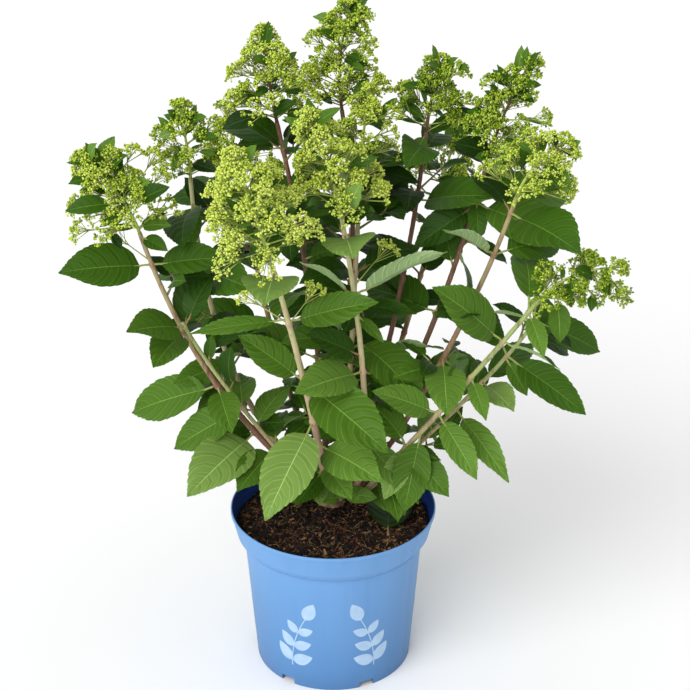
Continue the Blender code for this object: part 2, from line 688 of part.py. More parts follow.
def grow_plant(materials, pot, soil):
    """Place every stem, flower head and leaf in a fixed order, then fuse each mass."""
    taken = [("pot", surface_tree(pot)), ("soil", surface_tree(soil))]
    trunk, stubs = stump_shapes()
    fuse("stump", trunk, stubs, materials["wood"])
    for shape in [trunk] + stubs:
        taken.append(("stump", shape_tree(shape)))
    for cane in CANES + SHOOTS:
        stem = cane_tube(cane, stub_share(cane), 1.0, GAP)
        taken.append(("stem_" + cane.name, shape_tree(stem)))
        if cane.head:
            taken.append(("head_" + cane.name, shape_tree(rachis(cane, GAP))))
    heads, sprays = {}, {}
    for number, cane in enumerate(CANES):
        rng = random.Random(PLANT_SEED * 100 + number)
        if cane.head:
            own = ("head_" + cane.name, "stem_" + cane.name)
            heads[cane.name] = (grow_fingers(head_fingers(cane, rng), taken, own),
                                grow_bracts(cane, rng, taken, own))
    for cane in CANES:
        own = ("spray_" + cane.name, "stem_" + cane.name)
        sprays[cane.name] = grow_fingers([side_spray(cane, spray) for spray in cane.sprays],
                                         taken, own)
    for number, cane in enumerate(CANES + SHOOTS):
        rng = random.Random(PLANT_SEED * 1000 + number)
        leaves = grow_cane_leaves(cane, rng, taken)
        make_cane(cane, leaves, sprays.get(cane.name, []), materials)
        if cane.head:
            make_head(cane, *heads[cane.name], materials)


def grow_cane_leaves(cane, rng, taken):
    """Opposite leaves in pairs."""
    leaves = []
    for share, turn, length, rise, mate_length, mate_rise in cane.pairs:
        for side, size, lift in ((0, length, rise), (180, mate_length, mate_rise)):
            sway = rng.uniform(-0.25, 0.25)
            leaf = grow_leaf(cane, share, turn + side, size * MM, lift, sway, taken)
            if leaf:
                leaves.append(leaf)
    return leaves


def make_cane(cane, leaves, sprays, materials):
    """The bare limb and, past its end, the leafy stretch as one fused mass."""
    gap = share_of(cane, GAP)
    start, end = stub_share(cane) + gap, first_leaf_share(cane)
    if cane not in SHOOTS:
        limb = cane_tube(cane, start, end - gap)
        add_object("cane_" + cane.name, *limb, materials["cane"])
        start = end
    shapes = [leaf_shape(leaf, BLADE_STATIONS) for leaf in leaves]
    shapes += [finger_shape(finger) for finger in sprays]
    fuse("foliage_" + cane.name, cane_tube(cane, start, 1.0), shapes, materials["leaf"])


def rachis(cane, spare=0.0):
    """The stalk of a flower head, just clear of the leafy stretch below."""
    start = GAP / (cane.head[0] * MM)
    shares = [start + (1 - start) * step / 3 for step in range(4)]
    return tube([head_axis(cane, share)[0] for share in shares],
                [RACHIS_RADIUS * (1 - 0.55 * share) + spare for share in shares], STEM_SIDES,
                [head_axis(cane, share)[1] for share in shares])


def make_head(cane, fingers, bracts, materials):
    shapes = [finger_shape(finger) for finger in fingers]
    shapes += [leaf_shape(leaf, BRACT_STATIONS, 0, BRACT_STALK_RADIUS) for leaf in bracts]
    fuse("panicle_" + cane.name, rachis(cane), shapes, materials["bud"])


def main():
    remove_everything()
    materials = {
        "pot": make_material("pot_blue", (0.16, 0.37, 0.74), 0.45),
        "soil": make_material("compost_brown", (0.035, 0.02, 0.012), 0.95),
        "wood": make_material("stump_bark", (0.14, 0.08, 0.05), 0.85),
        "cane": make_material("cane_bark", (0.30, 0.19, 0.13), 0.7),
        "leaf": make_material("leaf_green", (0.06, 0.17, 0.03), 0.5),
        "bud": make_material("bud_lime", (0.36, 0.52, 0.10), 0.6),
    }
    pot = make_pot(materials["pot"])
    soil = make_soil(materials["soil"])
    grow_plant(materials, pot, soil)


main()
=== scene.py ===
"""The finish of a panicle hydrangea in a nursery pot: metres, +Z up, front towards -Y.

The pot and its compost come first, then the plan of the plant, its stump, canes, leaves
and flower heads, and last the floor, the light and the camera.
"""

import math
import random
from collections import namedtuple

import bpy
import numpy as np
from mathutils import Matrix, Vector, noise
from mathutils.bvhtree import BVHTree


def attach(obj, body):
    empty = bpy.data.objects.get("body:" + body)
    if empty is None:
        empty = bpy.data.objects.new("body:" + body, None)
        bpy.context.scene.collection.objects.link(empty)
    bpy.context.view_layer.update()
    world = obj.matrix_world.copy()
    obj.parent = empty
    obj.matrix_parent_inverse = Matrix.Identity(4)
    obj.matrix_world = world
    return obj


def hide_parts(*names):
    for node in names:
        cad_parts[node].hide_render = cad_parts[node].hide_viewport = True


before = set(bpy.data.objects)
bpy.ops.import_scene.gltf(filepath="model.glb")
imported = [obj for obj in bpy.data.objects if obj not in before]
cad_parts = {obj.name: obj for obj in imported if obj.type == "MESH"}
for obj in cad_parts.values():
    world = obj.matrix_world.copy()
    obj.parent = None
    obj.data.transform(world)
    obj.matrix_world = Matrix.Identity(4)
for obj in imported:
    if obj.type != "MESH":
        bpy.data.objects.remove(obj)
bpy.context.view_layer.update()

# The pot is injection moulded in satin sky blue plastic, with a collar, a rolled lip, a
# skirt and drain notches.  It is drawn up ring by ring from its flat underside, over the
# lip and down the inside to its floor, and the notches are cut through the skirt.
MM = 0.001
PLANT_SEED = 11
POT_HEIGHT = 190 * MM
POT_FOOT_RADIUS = 88.5 * MM
POT_COLLAR_FOOT_RADIUS = 100 * MM
POT_COLLAR_RADIUS = 109 * MM
POT_RIM_RADIUS = 115 * MM
POT_COLLAR_FOOT = POT_HEIGHT - 39 * MM
POT_LEDGE = POT_COLLAR_FOOT + 12 * MM
POT_WALL = 2.2 * MM
POT_FLOOR_RADIUS = 60 * MM
POT_GUTTER_HEIGHT = 8 * MM
POT_BEAD = 1.1 * MM
POT_SIDES = 144
POT_SHARP_EDGE = 40
NOTCH_COUNT = 6
NOTCH_WIDTH = 17 * MM
NOTCH_HEIGHT = 7.5 * MM
NOTCH_DEPTH = 14 * MM
NOTCH_TURN = -5


def tone(red, green, blue):
    """A colour from its screen values, 0 to 255."""
    parts = [value / 255 for value in (red, green, blue)]
    linear = [part / 12.92 if part <= 0.04045 else ((part + 0.055) / 1.055) ** 2.4
              for part in parts]
    return (*linear, 1.0)


def set_inputs(finish, node, **inputs):
    """Set a node's inputs, or link those that are given as another node's output."""
    for name, value in inputs.items():
        socket = node.inputs[name.replace("_", " ")]
        if isinstance(value, bpy.types.NodeSocket):
            finish.node_tree.links.new(value, socket)
        else:
            socket.default_value = value


def set_surface(finish, **inputs):
    set_inputs(finish, finish.node_tree.nodes["Principled BSDF"], **inputs)


def add_node(finish, kind, output, **inputs):
    """A new node in a finish, of which this output is handed on."""
    node = finish.node_tree.nodes.new("ShaderNode" + kind)
    set_inputs(finish, node, **inputs)
    return node.outputs[output]


def plain_finish(name, colour, roughness, shine=0.5):
    finish = bpy.data.materials.new(name)
    finish.use_nodes = True
    set_surface(finish, Base_Color=colour, Roughness=roughness, Specular_IOR_Level=shine)
    return finish


def grain(finish, scale, detail=3.0, stretch=(1, 1, 1)):
    """Noise fixed to the piece, drawn out along an axis where its stretch is small."""
    where = add_node(finish, "TexCoord", "Object")
    drawn = add_node(finish, "Mapping", "Vector", Vector=where, Scale=stretch)
    return add_node(finish, "TexNoise", "Fac", Vector=drawn, Scale=scale, Detail=detail)


def blend_colours(finish, amount, first, second, low=0.0, high=1.0):
    """The first colour where the amount is low, the second where it is high."""
    share = add_node(finish, "MapRange", "Result", Value=amount, From_Min=low, From_Max=high)
    return add_node(finish, "MixRGB", "Color", Fac=share, Color1=first, Color2=second)


def vary_roughness(finish, amount, low, high):
    set_surface(finish, Roughness=add_node(finish, "MapRange", "Result", Value=amount,
                                           To_Min=low, To_Max=high))


def raise_grain(finish, amount, depth, strength=1.0):
    set_surface(finish, Normal=add_node(finish, "Bump", "Normal", Height=amount,
                                        Distance=depth, Strength=strength))


def point_mark(finish, name):
    """A number that each point of the piece carries under this name."""
    mark = finish.node_tree.nodes.new("ShaderNodeAttribute")
    mark.attribute_name = name
    return mark.outputs["Fac"]


def wall_radius(height):
    """The outside of the pot at a height."""
    levels = ((0, POT_FOOT_RADIUS), (POT_COLLAR_FOOT, POT_COLLAR_FOOT_RADIUS),
              (POT_LEDGE, POT_COLLAR_RADIUS), (POT_HEIGHT, POT_RIM_RADIUS))
    for (low, narrow), (high, wide) in zip(levels, levels[1:]):
        if height <= high:
            return narrow + (wide - narrow) * (height - low) / (high - low)
    return POT_RIM_RADIUS


def arc(radius, height, size, start, end, steps):
    """Points of a rounding about (radius, height), from one angle to another."""
    angles = [math.radians(start + (end - start) * step / steps) for step in range(steps + 1)]
    return [(radius + size * math.cos(angle), height + size * math.sin(angle))
            for angle in angles]


lip = POT_WALL / 2
gutter_top = POT_GUTTER_HEIGHT + POT_WALL
pot_profile = [(POT_FLOOR_RADIUS, 0), (POT_FLOOR_RADIUS + 2 * MM, POT_GUTTER_HEIGHT),
               (POT_FOOT_RADIUS - POT_WALL, POT_GUTTER_HEIGHT),
               (POT_FOOT_RADIUS - POT_WALL, 0), (POT_FOOT_RADIUS - 0.5 * MM, 0),
               (POT_FOOT_RADIUS, 0.6 * MM)]
pot_profile += [(wall_radius(height * MM), height * MM) for height in (30, 60, 90, 120)]
pot_profile += arc(POT_COLLAR_FOOT_RADIUS - 0.2 * MM, POT_COLLAR_FOOT, POT_BEAD, -80, 60, 6)
pot_profile += [(POT_COLLAR_FOOT_RADIUS + 2.2 * MM, POT_COLLAR_FOOT + 3.4 * MM),
                (POT_COLLAR_RADIUS - 0.5 * MM, POT_LEDGE - 1.2 * MM),
                (POT_COLLAR_RADIUS, POT_LEDGE + 1.0 * MM),
                (POT_RIM_RADIUS - 1.2 * MM, POT_HEIGHT - 6 * MM),
                (POT_RIM_RADIUS - 0.9 * MM, POT_HEIGHT - 4.4 * MM),
                (POT_RIM_RADIUS, POT_HEIGHT - 3.6 * MM)]
pot_profile += arc(POT_RIM_RADIUS - lip, POT_HEIGHT - lip, lip, 0, 180, 8)
pot_profile += [(POT_COLLAR_RADIUS - POT_WALL, POT_LEDGE),
                (POT_COLLAR_FOOT_RADIUS - POT_WALL, POT_COLLAR_FOOT),
                (wall_radius(gutter_top) - POT_WALL, gutter_top),
                (POT_FLOOR_RADIUS, gutter_top), (POT_FLOOR_RADIUS - 2 * MM, POT_WALL)]

bpy.ops.object.select_all(action="DESELECT")
bpy.ops.mesh.primitive_circle_add(vertices=POT_SIDES, radius=POT_FLOOR_RADIUS,
                                  fill_type="NGON")
pot_shell = bpy.context.object
pot_shell.name = "pot_shell"
bpy.ops.object.mode_set(mode="EDIT")
bpy.ops.mesh.select_all(action="SELECT")
for (radius, height), (next_radius, next_height) in zip(pot_profile, pot_profile[1:]):
    bpy.ops.mesh.extrude_region_move(
        TRANSFORM_OT_translate={"value": (0, 0, next_height - height)})
    ratio = next_radius / radius
    bpy.ops.transform.resize(value=(ratio, ratio, 1), center_override=(0, 0, next_height))
bpy.ops.mesh.select_all(action="SELECT")
bpy.ops.mesh.normals_make_consistent(inside=False)
bpy.ops.object.mode_set(mode="OBJECT")


def select_only(piece):
    bpy.ops.object.select_all(action="DESELECT")
    piece.select_set(True)
    bpy.context.view_layer.objects.active = piece


def reshape(piece, kind, **settings):
    """Put a modifier on a piece and apply it."""
    change = piece.modifiers.new(kind.lower(), kind)
    for name, value in settings.items():
        setattr(change, name, value)
    select_only(piece)
    bpy.ops.object.modifier_apply(modifier=change.name)


def mark_points(piece, name, values):
    """Give each point of a piece a number under this name."""
    piece.data.attributes.new(name, "FLOAT", "POINT").data.foreach_set("value", values)


for index in range(NOTCH_COUNT):
    turn = math.radians(NOTCH_TURN + 360 * index / NOTCH_COUNT)
    outwards = Vector((math.cos(turn), math.sin(turn), 0))
    bpy.ops.mesh.primitive_cube_add(size=1, location=outwards * POT_FOOT_RADIUS,
                                    rotation=(0, 0, turn),
                                    scale=(NOTCH_DEPTH, NOTCH_WIDTH, 2 * NOTCH_HEIGHT))
    cutter = bpy.context.object
    reshape(pot_shell, "BOOLEAN", operation="DIFFERENCE", solver="EXACT", object=cutter)
    bpy.data.objects.remove(cutter, do_unlink=True)

spots = [vert.co.copy() for vert in pot_shell.data.vertices]
# The inside of the wall is coloured a darker navy blue than the outside.
mark_points(pot_shell, "inside_of_wall", [
    float(spot.z > POT_WALL / 2
          and math.hypot(spot.x, spot.y) < wall_radius(spot.z) - 0.6 * POT_WALL)
    for spot in spots])
# Painted shade: a mark that grows towards the pot's foot, so the blue is painted darker low down.
mark_points(pot_shell, "painted_low_shade", [max(0.0, 1.0 - spot.z / POT_COLLAR_FOOT) for spot in spots])
select_only(pot_shell)
bpy.ops.object.shade_smooth_by_angle(angle=math.radians(POT_SHARP_EDGE))

pot_plastic = plain_finish("pot_plastic", tone(104, 150, 200), 0.5, 0.22)
flow = grain(pot_plastic, 5, 2)
streaks = grain(pot_plastic, 60, 4, (1, 1, 0.06))
blue = blend_colours(pot_plastic, flow, tone(101, 147, 198), tone(110, 157, 208), 0.3, 0.7)
blue = blend_colours(pot_plastic, streaks, blue, tone(94, 139, 190), 0.5, 1.1)
# Painted shade: the blue is painted darker towards the foot of the pot.
blue = blend_colours(pot_plastic, point_mark(pot_plastic, "painted_low_shade"), blue, tone(76, 121, 170))
# Darker navy blue on the inside of the wall.
blue = blend_colours(pot_plastic, point_mark(pot_plastic, "inside_of_wall"), blue, tone(24, 56, 132))
set_surface(pot_plastic, Base_Color=blue)
vary_roughness(pot_plastic, streaks, 0.38, 0.54)
raise_grain(pot_plastic, grain(pot_plastic, 420, 2), 0.05 * MM, 0.35)
pot_shell.data.materials.append(pot_plastic)
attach(pot_shell, "root")
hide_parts("pot")

# The print on the pot's wall: a ring of pale leaf sprigs, each a bowed stalk with paired
# leaves.  A thin skin of ink lies on the plastic, so every outline follows the wall.
SPRIG_COUNT = 6
SPRIG_TURN = -60
SPRIG_FOOT = 28 * MM
SPRIG_LENGTH = 68 * MM
SPRIG_LEAN = 16
SPRIG_LEAF = 26 * MM
SPRIG_LEAF_WIDTH = 0.6
SPRIG_LEAF_SPREAD = 52
SPRIG_STALK = 1.3 * MM
INK = 0.14 * MM
INK_SKIN = 0.1 * MM


def on_wall(turn, across_wall, height):
    """A point of the print: a place across and up the wall from the sprig's turn."""
    angle = turn + across_wall / wall_radius(height)
    reach = wall_radius(height) + INK
    return Vector((math.cos(angle) * reach, math.sin(angle) * reach, height))


def sprig_place(lean, share, aside=0.0):
    """A place along a sprig's bowed stalk, across and up the wall."""
    return (math.sin(lean) * SPRIG_LENGTH * share ** 2 + aside,
            SPRIG_FOOT + SPRIG_LENGTH * share)


def printed_leaf(foot, heading, length, steps=9):
    """Rows of three places across a flat leaf."""
    rows = []
    for step in range(steps + 1):
        along = length * step / steps
        half = SPRIG_LEAF_WIDTH / 2 * length * math.sin(math.pi * (step / steps) ** 0.8) ** 0.8
        rows.append([(foot[0] + math.sin(heading) * along + math.cos(heading) * half * side,
                      foot[1] + math.cos(heading) * along - math.sin(heading) * half * side)
                     for side in (-1, 0, 1)])
    return rows


def add_piece(name, shape, finishes, smooth=True, edges=()):
    """A shape as one piece that rides on the pot, where it has marks with a finish each."""
    verts, faces, *marks = shape
    mesh = bpy.data.meshes.new(name)
    mesh.from_pydata([tuple(vert) for vert in verts], edges, faces)
    for finish in finishes:
        mesh.materials.append(finish)
    if marks:
        mesh.polygons.foreach_set("material_index", marks[0])
    mesh.polygons.foreach_set("use_smooth", [smooth] * len(mesh.polygons))
    piece = bpy.data.objects.new(name, mesh)
    bpy.context.scene.collection.objects.link(piece)
    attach(piece, "root")
    return piece


print_verts, print_faces = [], []
for sprig in range(SPRIG_COUNT):
    turn = math.radians(SPRIG_TURN + 360 * sprig / SPRIG_COUNT)
    lean = math.radians(SPRIG_LEAN if sprig % 2 else -SPRIG_LEAN)
    strips = [[[sprig_place(lean, step / 12, side * SPRIG_STALK) for side in (-0.5, 0, 0.5)]
               for step in range(13)]]
    for pair, share in enumerate((0.1, 0.4, 0.7)):
        for side in (-1, 1):
            strips.append(printed_leaf(sprig_place(lean, share, side * 0.8 * MM),
                                       lean + side * math.radians(SPRIG_LEAF_SPREAD),
                                       SPRIG_LEAF * (1.0 - 0.14 * pair)))
    strips.append(printed_leaf(sprig_place(lean, 1), 1.6 * lean, SPRIG_LEAF))
    for strip in strips:
        start = len(print_verts)
        print_verts += [on_wall(turn, *place) for row in strip for place in row]
        for row in range(len(strip) - 1):
            for corner in (start + 3 * row, start + 3 * row + 1):
                print_faces.append((corner, corner + 1, corner + 4, corner + 3))

pale_ink = plain_finish("pale_ink", tone(160, 188, 214), 0.5, 0.4)
ink = blend_colours(pale_ink, grain(pale_ink, 90, 3), tone(152, 181, 210), tone(168, 195, 220),
                    0.3, 0.7)
set_surface(pale_ink, Base_Color=ink)
pot_print = add_piece("pot_print", (print_verts, print_faces), [pale_ink], False)
reshape(pot_print, "SOLIDIFY", thickness=INK_SKIN, offset=-1)

# The compost is dark, lumpy peat-free bark that fills the pot to below its lip.  Its body
# is one spun profile with a rough top, and loose chips and fibres lie on it.
SOIL_HEIGHT = 172 * MM
SOIL_LUMP = 5 * MM
SOIL_CRUMB = 3 * MM
SOIL_EDGE = 8 * MM
SOIL_SINK = 2.5 * MM
SOIL_STEPS = 64
CHIP_COUNT = 4200
CHIP_SIZES = (2.5, 3.5, 3.5, 5, 7)
FIBRE_COUNT = 420
FIBRE_RADIUS = 0.22 * MM
ROOT_RADIUS = 0.42 * MM
# The plainest loose roots: across, back and length, in millimetres.
ROOTS = ((62, -52, 34), (70, -40, 22), (56, -64, 26), (-62, -50, 18), (30, -78, 20), (86, 20, 24))

soil_radius = wall_radius(SOIL_HEIGHT) - POT_WALL - 0.6 * MM
soil_floor = gutter_top + 0.6 * MM
soil_profile = [(soil_radius * step / SOIL_STEPS, 0, SOIL_HEIGHT)
                for step in range(SOIL_STEPS + 1)]
soil_profile += [(wall_radius(height) - POT_WALL - 0.7 * MM, 0, height)
                 for height in (POT_LEDGE, POT_COLLAR_FOOT, soil_floor)]
soil_profile += [(POT_FLOOR_RADIUS - 2 * MM, 0, soil_floor), (0, 0, soil_floor)]
peat = plain_finish("peat", tone(34, 22, 15), 0.95, 0.3)
crumbs = grain(peat, 260, 5)
set_surface(peat, Base_Color=blend_colours(peat, crumbs, tone(13, 9, 7), tone(52, 34, 24),
                                           0.35, 0.75))
raise_grain(peat, crumbs, 2 * MM)
compost = add_piece("compost", (soil_profile, []), [peat],
                    edges=[(step, step + 1) for step in range(len(soil_profile) - 1)])
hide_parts("soil")
select_only(compost)
bpy.ops.object.mode_set(mode="EDIT")
bpy.ops.mesh.select_all(action="SELECT")
bpy.ops.mesh.spin(steps=160, angle=math.tau, center=(0, 0, 0), axis=(0, 0, 1))
bpy.ops.mesh.select_all(action="SELECT")
bpy.ops.mesh.remove_doubles(threshold=0.01 * MM)
bpy.ops.mesh.normals_make_consistent(inside=False)
bpy.ops.object.mode_set(mode="OBJECT")
for vert in compost.data.vertices:
    if vert.co.z > SOIL_HEIGHT - 1 * MM:
        lump = noise.noise(vert.co * 38) * SOIL_LUMP
        crumb = noise.noise(vert.co * 210 + Vector((7, 0, 0))) * SOIL_CRUMB
        edge = min(1.0, (soil_radius - math.hypot(vert.co.x, vert.co.y)) / SOIL_EDGE)
        vert.co.z += lump * (0.3 + 0.7 * edge) + crumb - SOIL_SINK * (1 - edge)
bpy.ops.object.shade_smooth()


def join_shape(gathered, shape, mark=0):
    """Add a shape's points and faces to a piece in the making."""
    verts, faces, marks = gathered
    start = len(verts)
    verts += shape[0]
    faces += [tuple(start + corner for corner in face) for face in shape[1]]
    marks += [mark] * len(shape[1])


def squared(direction, way):
    """The direction turned square to the way, as little as that takes."""
    return (direction - way * direction.dot(way)).normalized()


def across(direction, turn=0.0):
    """Two directions square to this one, the first turned from +X."""
    steep = abs(direction.x) > 0.9
    first = squared(Vector((0.0, 0.0, 1.0)) if steep else Vector((1.0, 0.0, 0.0)), direction)
    second = direction.cross(first)
    angle = math.radians(turn)
    return (first * math.cos(angle) + second * math.sin(angle),
            second * math.cos(angle) - first * math.sin(angle))


def ring(middle, first, second, radius, sides, start=0.0):
    """Points round a place, in the plane of two directions."""
    angles = [start + math.tau * side / sides for side in range(sides)]
    return [middle + (first * math.cos(angle) + second * math.sin(angle)) * radius
            for angle in angles]


def tube(points, radii, sides, directions=None):
    """A closed round stem through the points, with flat ends."""
    last = len(points) - 1
    verts, faces = [], []
    for index, point in enumerate(points):
        along = points[min(index + 1, last)] - points[max(index - 1, 0)]
        direction = directions[index] if directions else along.normalized()
        verts += ring(point, *across(direction), radii[index], sides)
    for start in range(0, last * sides, sides):
        for side in range(sides):
            a = start + side
            b = start + (side + 1) % sides
            faces.append((a, b, b + sides, a + sides))
    faces.append(tuple(reversed(range(sides))))
    faces.append(tuple(range(last * sides, (last + 1) * sides)))
    return verts, faces


def mesh_tree(mesh):
    return BVHTree.FromPolygons([vert.co.copy() for vert in mesh.vertices],
                                [tuple(face.vertices) for face in mesh.polygons])


soil_rng = random.Random(PLANT_SEED)
soil_surface = mesh_tree(compost.data)


def on_soil(x, y):
    hit, _, _, _ = soil_surface.ray_cast(Vector((x, y, POT_HEIGHT)), Vector((0, 0, -1)))
    return hit or Vector((x, y, SOIL_HEIGHT))


def anywhere_on_soil(rng, margin):
    """A place on the compost, as likely here as there, at least a margin from the wall."""
    reach = (soil_radius - margin) * math.sqrt(rng.uniform(0, 1))
    angle = rng.uniform(0, math.tau)
    return on_soil(reach * math.cos(angle), reach * math.sin(angle))


def bark_chip(rng, size):
    """A torn flake: a thin block with every corner pulled out of square."""
    long = size * rng.uniform(0.7, 1.4)
    wide = size * rng.uniform(0.25, 0.6)
    thick = size * rng.uniform(0.1, 0.3)
    corners = []
    for z in (-0.5, 0.5):
        for x, y in ((-0.5, -0.5), (0.5, -0.5), (0.5, 0.5), (-0.5, 0.5)):
            corners.append(Vector((x * long * rng.uniform(0.6, 1.2),
                                   y * wide * rng.uniform(0.5, 1.2), z * thick)))
    spin = Matrix.Rotation(rng.uniform(0, math.tau), 3, "Z")
    tilt = Matrix.Rotation(rng.gauss(0, 0.45), 3, "X") @ Matrix.Rotation(rng.gauss(0, 0.4), 3, "Y")
    place = anywhere_on_soil(rng, 0.75 * long)
    place.z += thick * 0.3 + rng.uniform(0, 1.2) * MM
    verts = [place + spin @ (tilt @ corner) for corner in corners]
    faces = [(3, 2, 1, 0), (4, 5, 6, 7), (0, 1, 5, 4), (1, 2, 6, 5), (2, 3, 7, 6), (3, 0, 4, 7)]
    return verts, faces


def root_fibre(rng, place, length, thick):
    """A dry root or straw that wanders over the compost."""
    heading = rng.uniform(0, math.tau)
    points = [place.copy()]
    steps = max(4, round(length / (4 * MM)))
    for step in range(steps):
        heading += rng.gauss(0, 0.35)
        points.append(points[-1] + Vector((math.cos(heading), math.sin(heading), 0))
                      * length / steps)
    lift = rng.uniform(0.6, 2.2) * MM
    for index, point in enumerate(points):
        point.z = on_soil(point.x, point.y).z + lift * math.sin(math.pi * index / steps) + thick
    return tube(points, [thick] * len(points), 3)


for name, tint, share in (("chips_black", tone(16, 11, 9), 0.46),
                          ("chips_brown", tone(46, 30, 21), 0.31),
                          ("chips_russet", tone(92, 54, 34), 0.19),
                          ("chips_tan", tone(146, 108, 72), 0.06)):
    chips = ([], [], [])
    for _ in range(round(CHIP_COUNT * share)):
        join_shape(chips, bark_chip(soil_rng, soil_rng.choice(CHIP_SIZES) * MM))
    add_piece(name, chips, [plain_finish(name, tint, 0.85, 0.3)], False)
fibres = ([], [], [])
for _ in range(FIBRE_COUNT):
    place = anywhere_on_soil(soil_rng, 20 * MM)
    join_shape(fibres, root_fibre(soil_rng, place, soil_rng.uniform(6, 20) * MM, FIBRE_RADIUS))
for x, y, length in ROOTS:
    join_shape(fibres, root_fibre(soil_rng, on_soil(x * MM, y * MM), length * MM, ROOT_RADIUS))
root_straw = plain_finish("root_straw", tone(172, 138, 92), 0.8, 0.3)
add_piece("root_fibres", fibres, [root_straw])

# The plan of the plant: every stem, flower head and leaf has its place before any piece is
# made.  Each grows from its cane by one seeded rule, and a branch or a leaf that would
# touch another piece is nudged or left out, so the masses keep clear of one another.
STUMP_FLARE_RADIUS = 17 * MM
STUMP_WAIST_RADIUS = 9 * MM
STUMP_TOP_RADIUS = 12 * MM
STUMP_FOOT = Vector((-2, 34)) * MM
STUMP_TOP = Vector((4, 6)) * MM
STUMP_TOP_HEIGHT = 206 * MM
STUMP_SIDES = 9
STUB_DIP = 14 * MM
LEAST_DIP = 6 * MM
GAP = 0.3 * MM
CANE_STUB_LENGTH = 20 * MM
SHOOT_STUB_LENGTH = 5 * MM
STEM_SIDES = 5
STEM_RING_STEP = 46 * MM
CANE_TIP_THICKNESS = 4.6 * MM
RACHIS_RADIUS = 1.9 * MM
BRANCH_RADIUS = 1.0 * MM
TIER_SPACING = 27
LUMP_SPACING = 78 * MM
LUMP_RADIUS = 17 * MM
BRANCH_LEAN = 68
BRANCH_LEAN_FALL = 26
HEAD_TAPER = 0.80
BRACT_LENGTH = 30 * MM
BRACT_STATIONS = (0.4,)
BRACT_STALK_RADIUS = 0.7 * MM
LIGHT = Vector((0.0, -0.65, 1.0))
LEAF_FOLD = 14
LEAF_THICKNESS_SHARE = 0.022
PETIOLE_LENGTH = 17 * MM
USUAL_BLADE = 90 * MM
PETIOLE_RADIUS = 1.2 * MM
PETIOLE_SPREAD = 62
BLADE_STATIONS = (0.18, 0.45, 0.75)
LEAF_WIDTH_SHARE = 0.57
LEAF_DROOP = 38
LEAF_RISE = 9
LEAF_LEVELLING = 0.5
FORWARD_SWING = 18
OPENNESS = 0.4
SWAY = 0.25
NUDGES = ((0, 0), (14, 0), (-14, 0), (0, 14), (0, -14), (26, 8), (-26, 8), (26, -12),
          (-26, -12), (0, 28), (40, 0), (-40, 0))

# The photograph's own viewpoint, so that what is read from it in pixels finds its place.
PICTURE = 690
LENS = 79.8
SENSOR = 36
EYE = Vector((0.0133, -1.487, 1.0705))
EYE_TILT = math.radians(65.289)
FOCAL = PICTURE * LENS / SENSOR

# Where sky shows through and round the crown, read from the photograph: across, down
# and radius in its pixels.  What is finer than the solid parts keeps clear of these places.
OPEN_PLACES = (
    (190, 75, 22), (217, 74, 14), (270, 8, 12), (248, 14, 8), (52, 165, 14), (301, 38, 12),
    (386, 61, 9), (404, 58, 16), (396, 90, 6), (383, 131, 8), (405, 122, 9), (481, 68, 10),
    (541, 99, 8), (555, 128, 5),
    (575, 105, 14), (590, 130, 12), (440, 151, 8), (429, 180, 8), (433, 207, 13), (401, 231, 10),
    (386, 228, 7), (489, 206, 6), (490, 231, 8), (512, 120, 6), (590, 190, 12), (213, 109, 9),
    (152, 147, 5), (125, 125, 14), (80, 125, 16), (180, 139, 5), (197, 146, 5), (198, 170, 4),
    (162, 169, 6), (158, 200, 5), (130, 247, 6), (119, 235, 4), (67, 235, 12), (170, 238, 4),
    (216, 232, 8), (222, 272, 6), (159, 277, 4), (327, 52, 5), (326, 76, 5), (351, 49, 4),
    (295, 273, 6), (309, 239, 4), (336, 260, 5), (295, 292, 5), (384, 293, 6), (372, 339, 8),
    (379, 322, 7), (309, 351, 6), (303, 365, 4), (258, 379, 14), (243, 365, 7), (271, 312, 9),
    (276, 334, 5), (400, 355, 7), (264, 409, 5), (409, 408, 5), (409, 278, 9), (207, 345, 9),
    (214, 330, 5), (221, 308, 6), (183, 352, 9), (195, 376, 5), (236, 396, 5), (152, 375, 8),
    (189, 396, 7), (178, 405, 9), (213, 427, 7), (128, 305, 14), (110, 350, 16), (115, 430, 18),
    (160, 460, 16), (168, 505, 18), (231, 461, 12), (224, 487, 14), (265, 441, 5), (250, 442, 4),
    (500, 284, 19), (432, 278, 12), (417, 319, 12), (437, 332, 8), (470, 352, 6), (450, 363, 5),
    (476, 272, 10), (496, 328, 7), (432, 405, 7), (412, 419, 5), (471, 412, 7), (491, 388, 6),
    (502, 421, 14), (528, 402, 8), (579, 370, 12), (620, 330, 14), (620, 380, 18), (566, 268, 12),
    (610, 245, 14), (408, 440, 5), (421, 468, 5), (467, 430, 9), (455, 458, 5), (482, 440, 6),
    (469, 491, 13), (490, 480, 5), (530, 450, 16), (545, 430, 10), (500, 510, 18), (610, 430, 16))

Leaf = namedtuple("Leaf", "root base heading face droop length width")
Finger = namedtuple("Finger", "root tip radius")

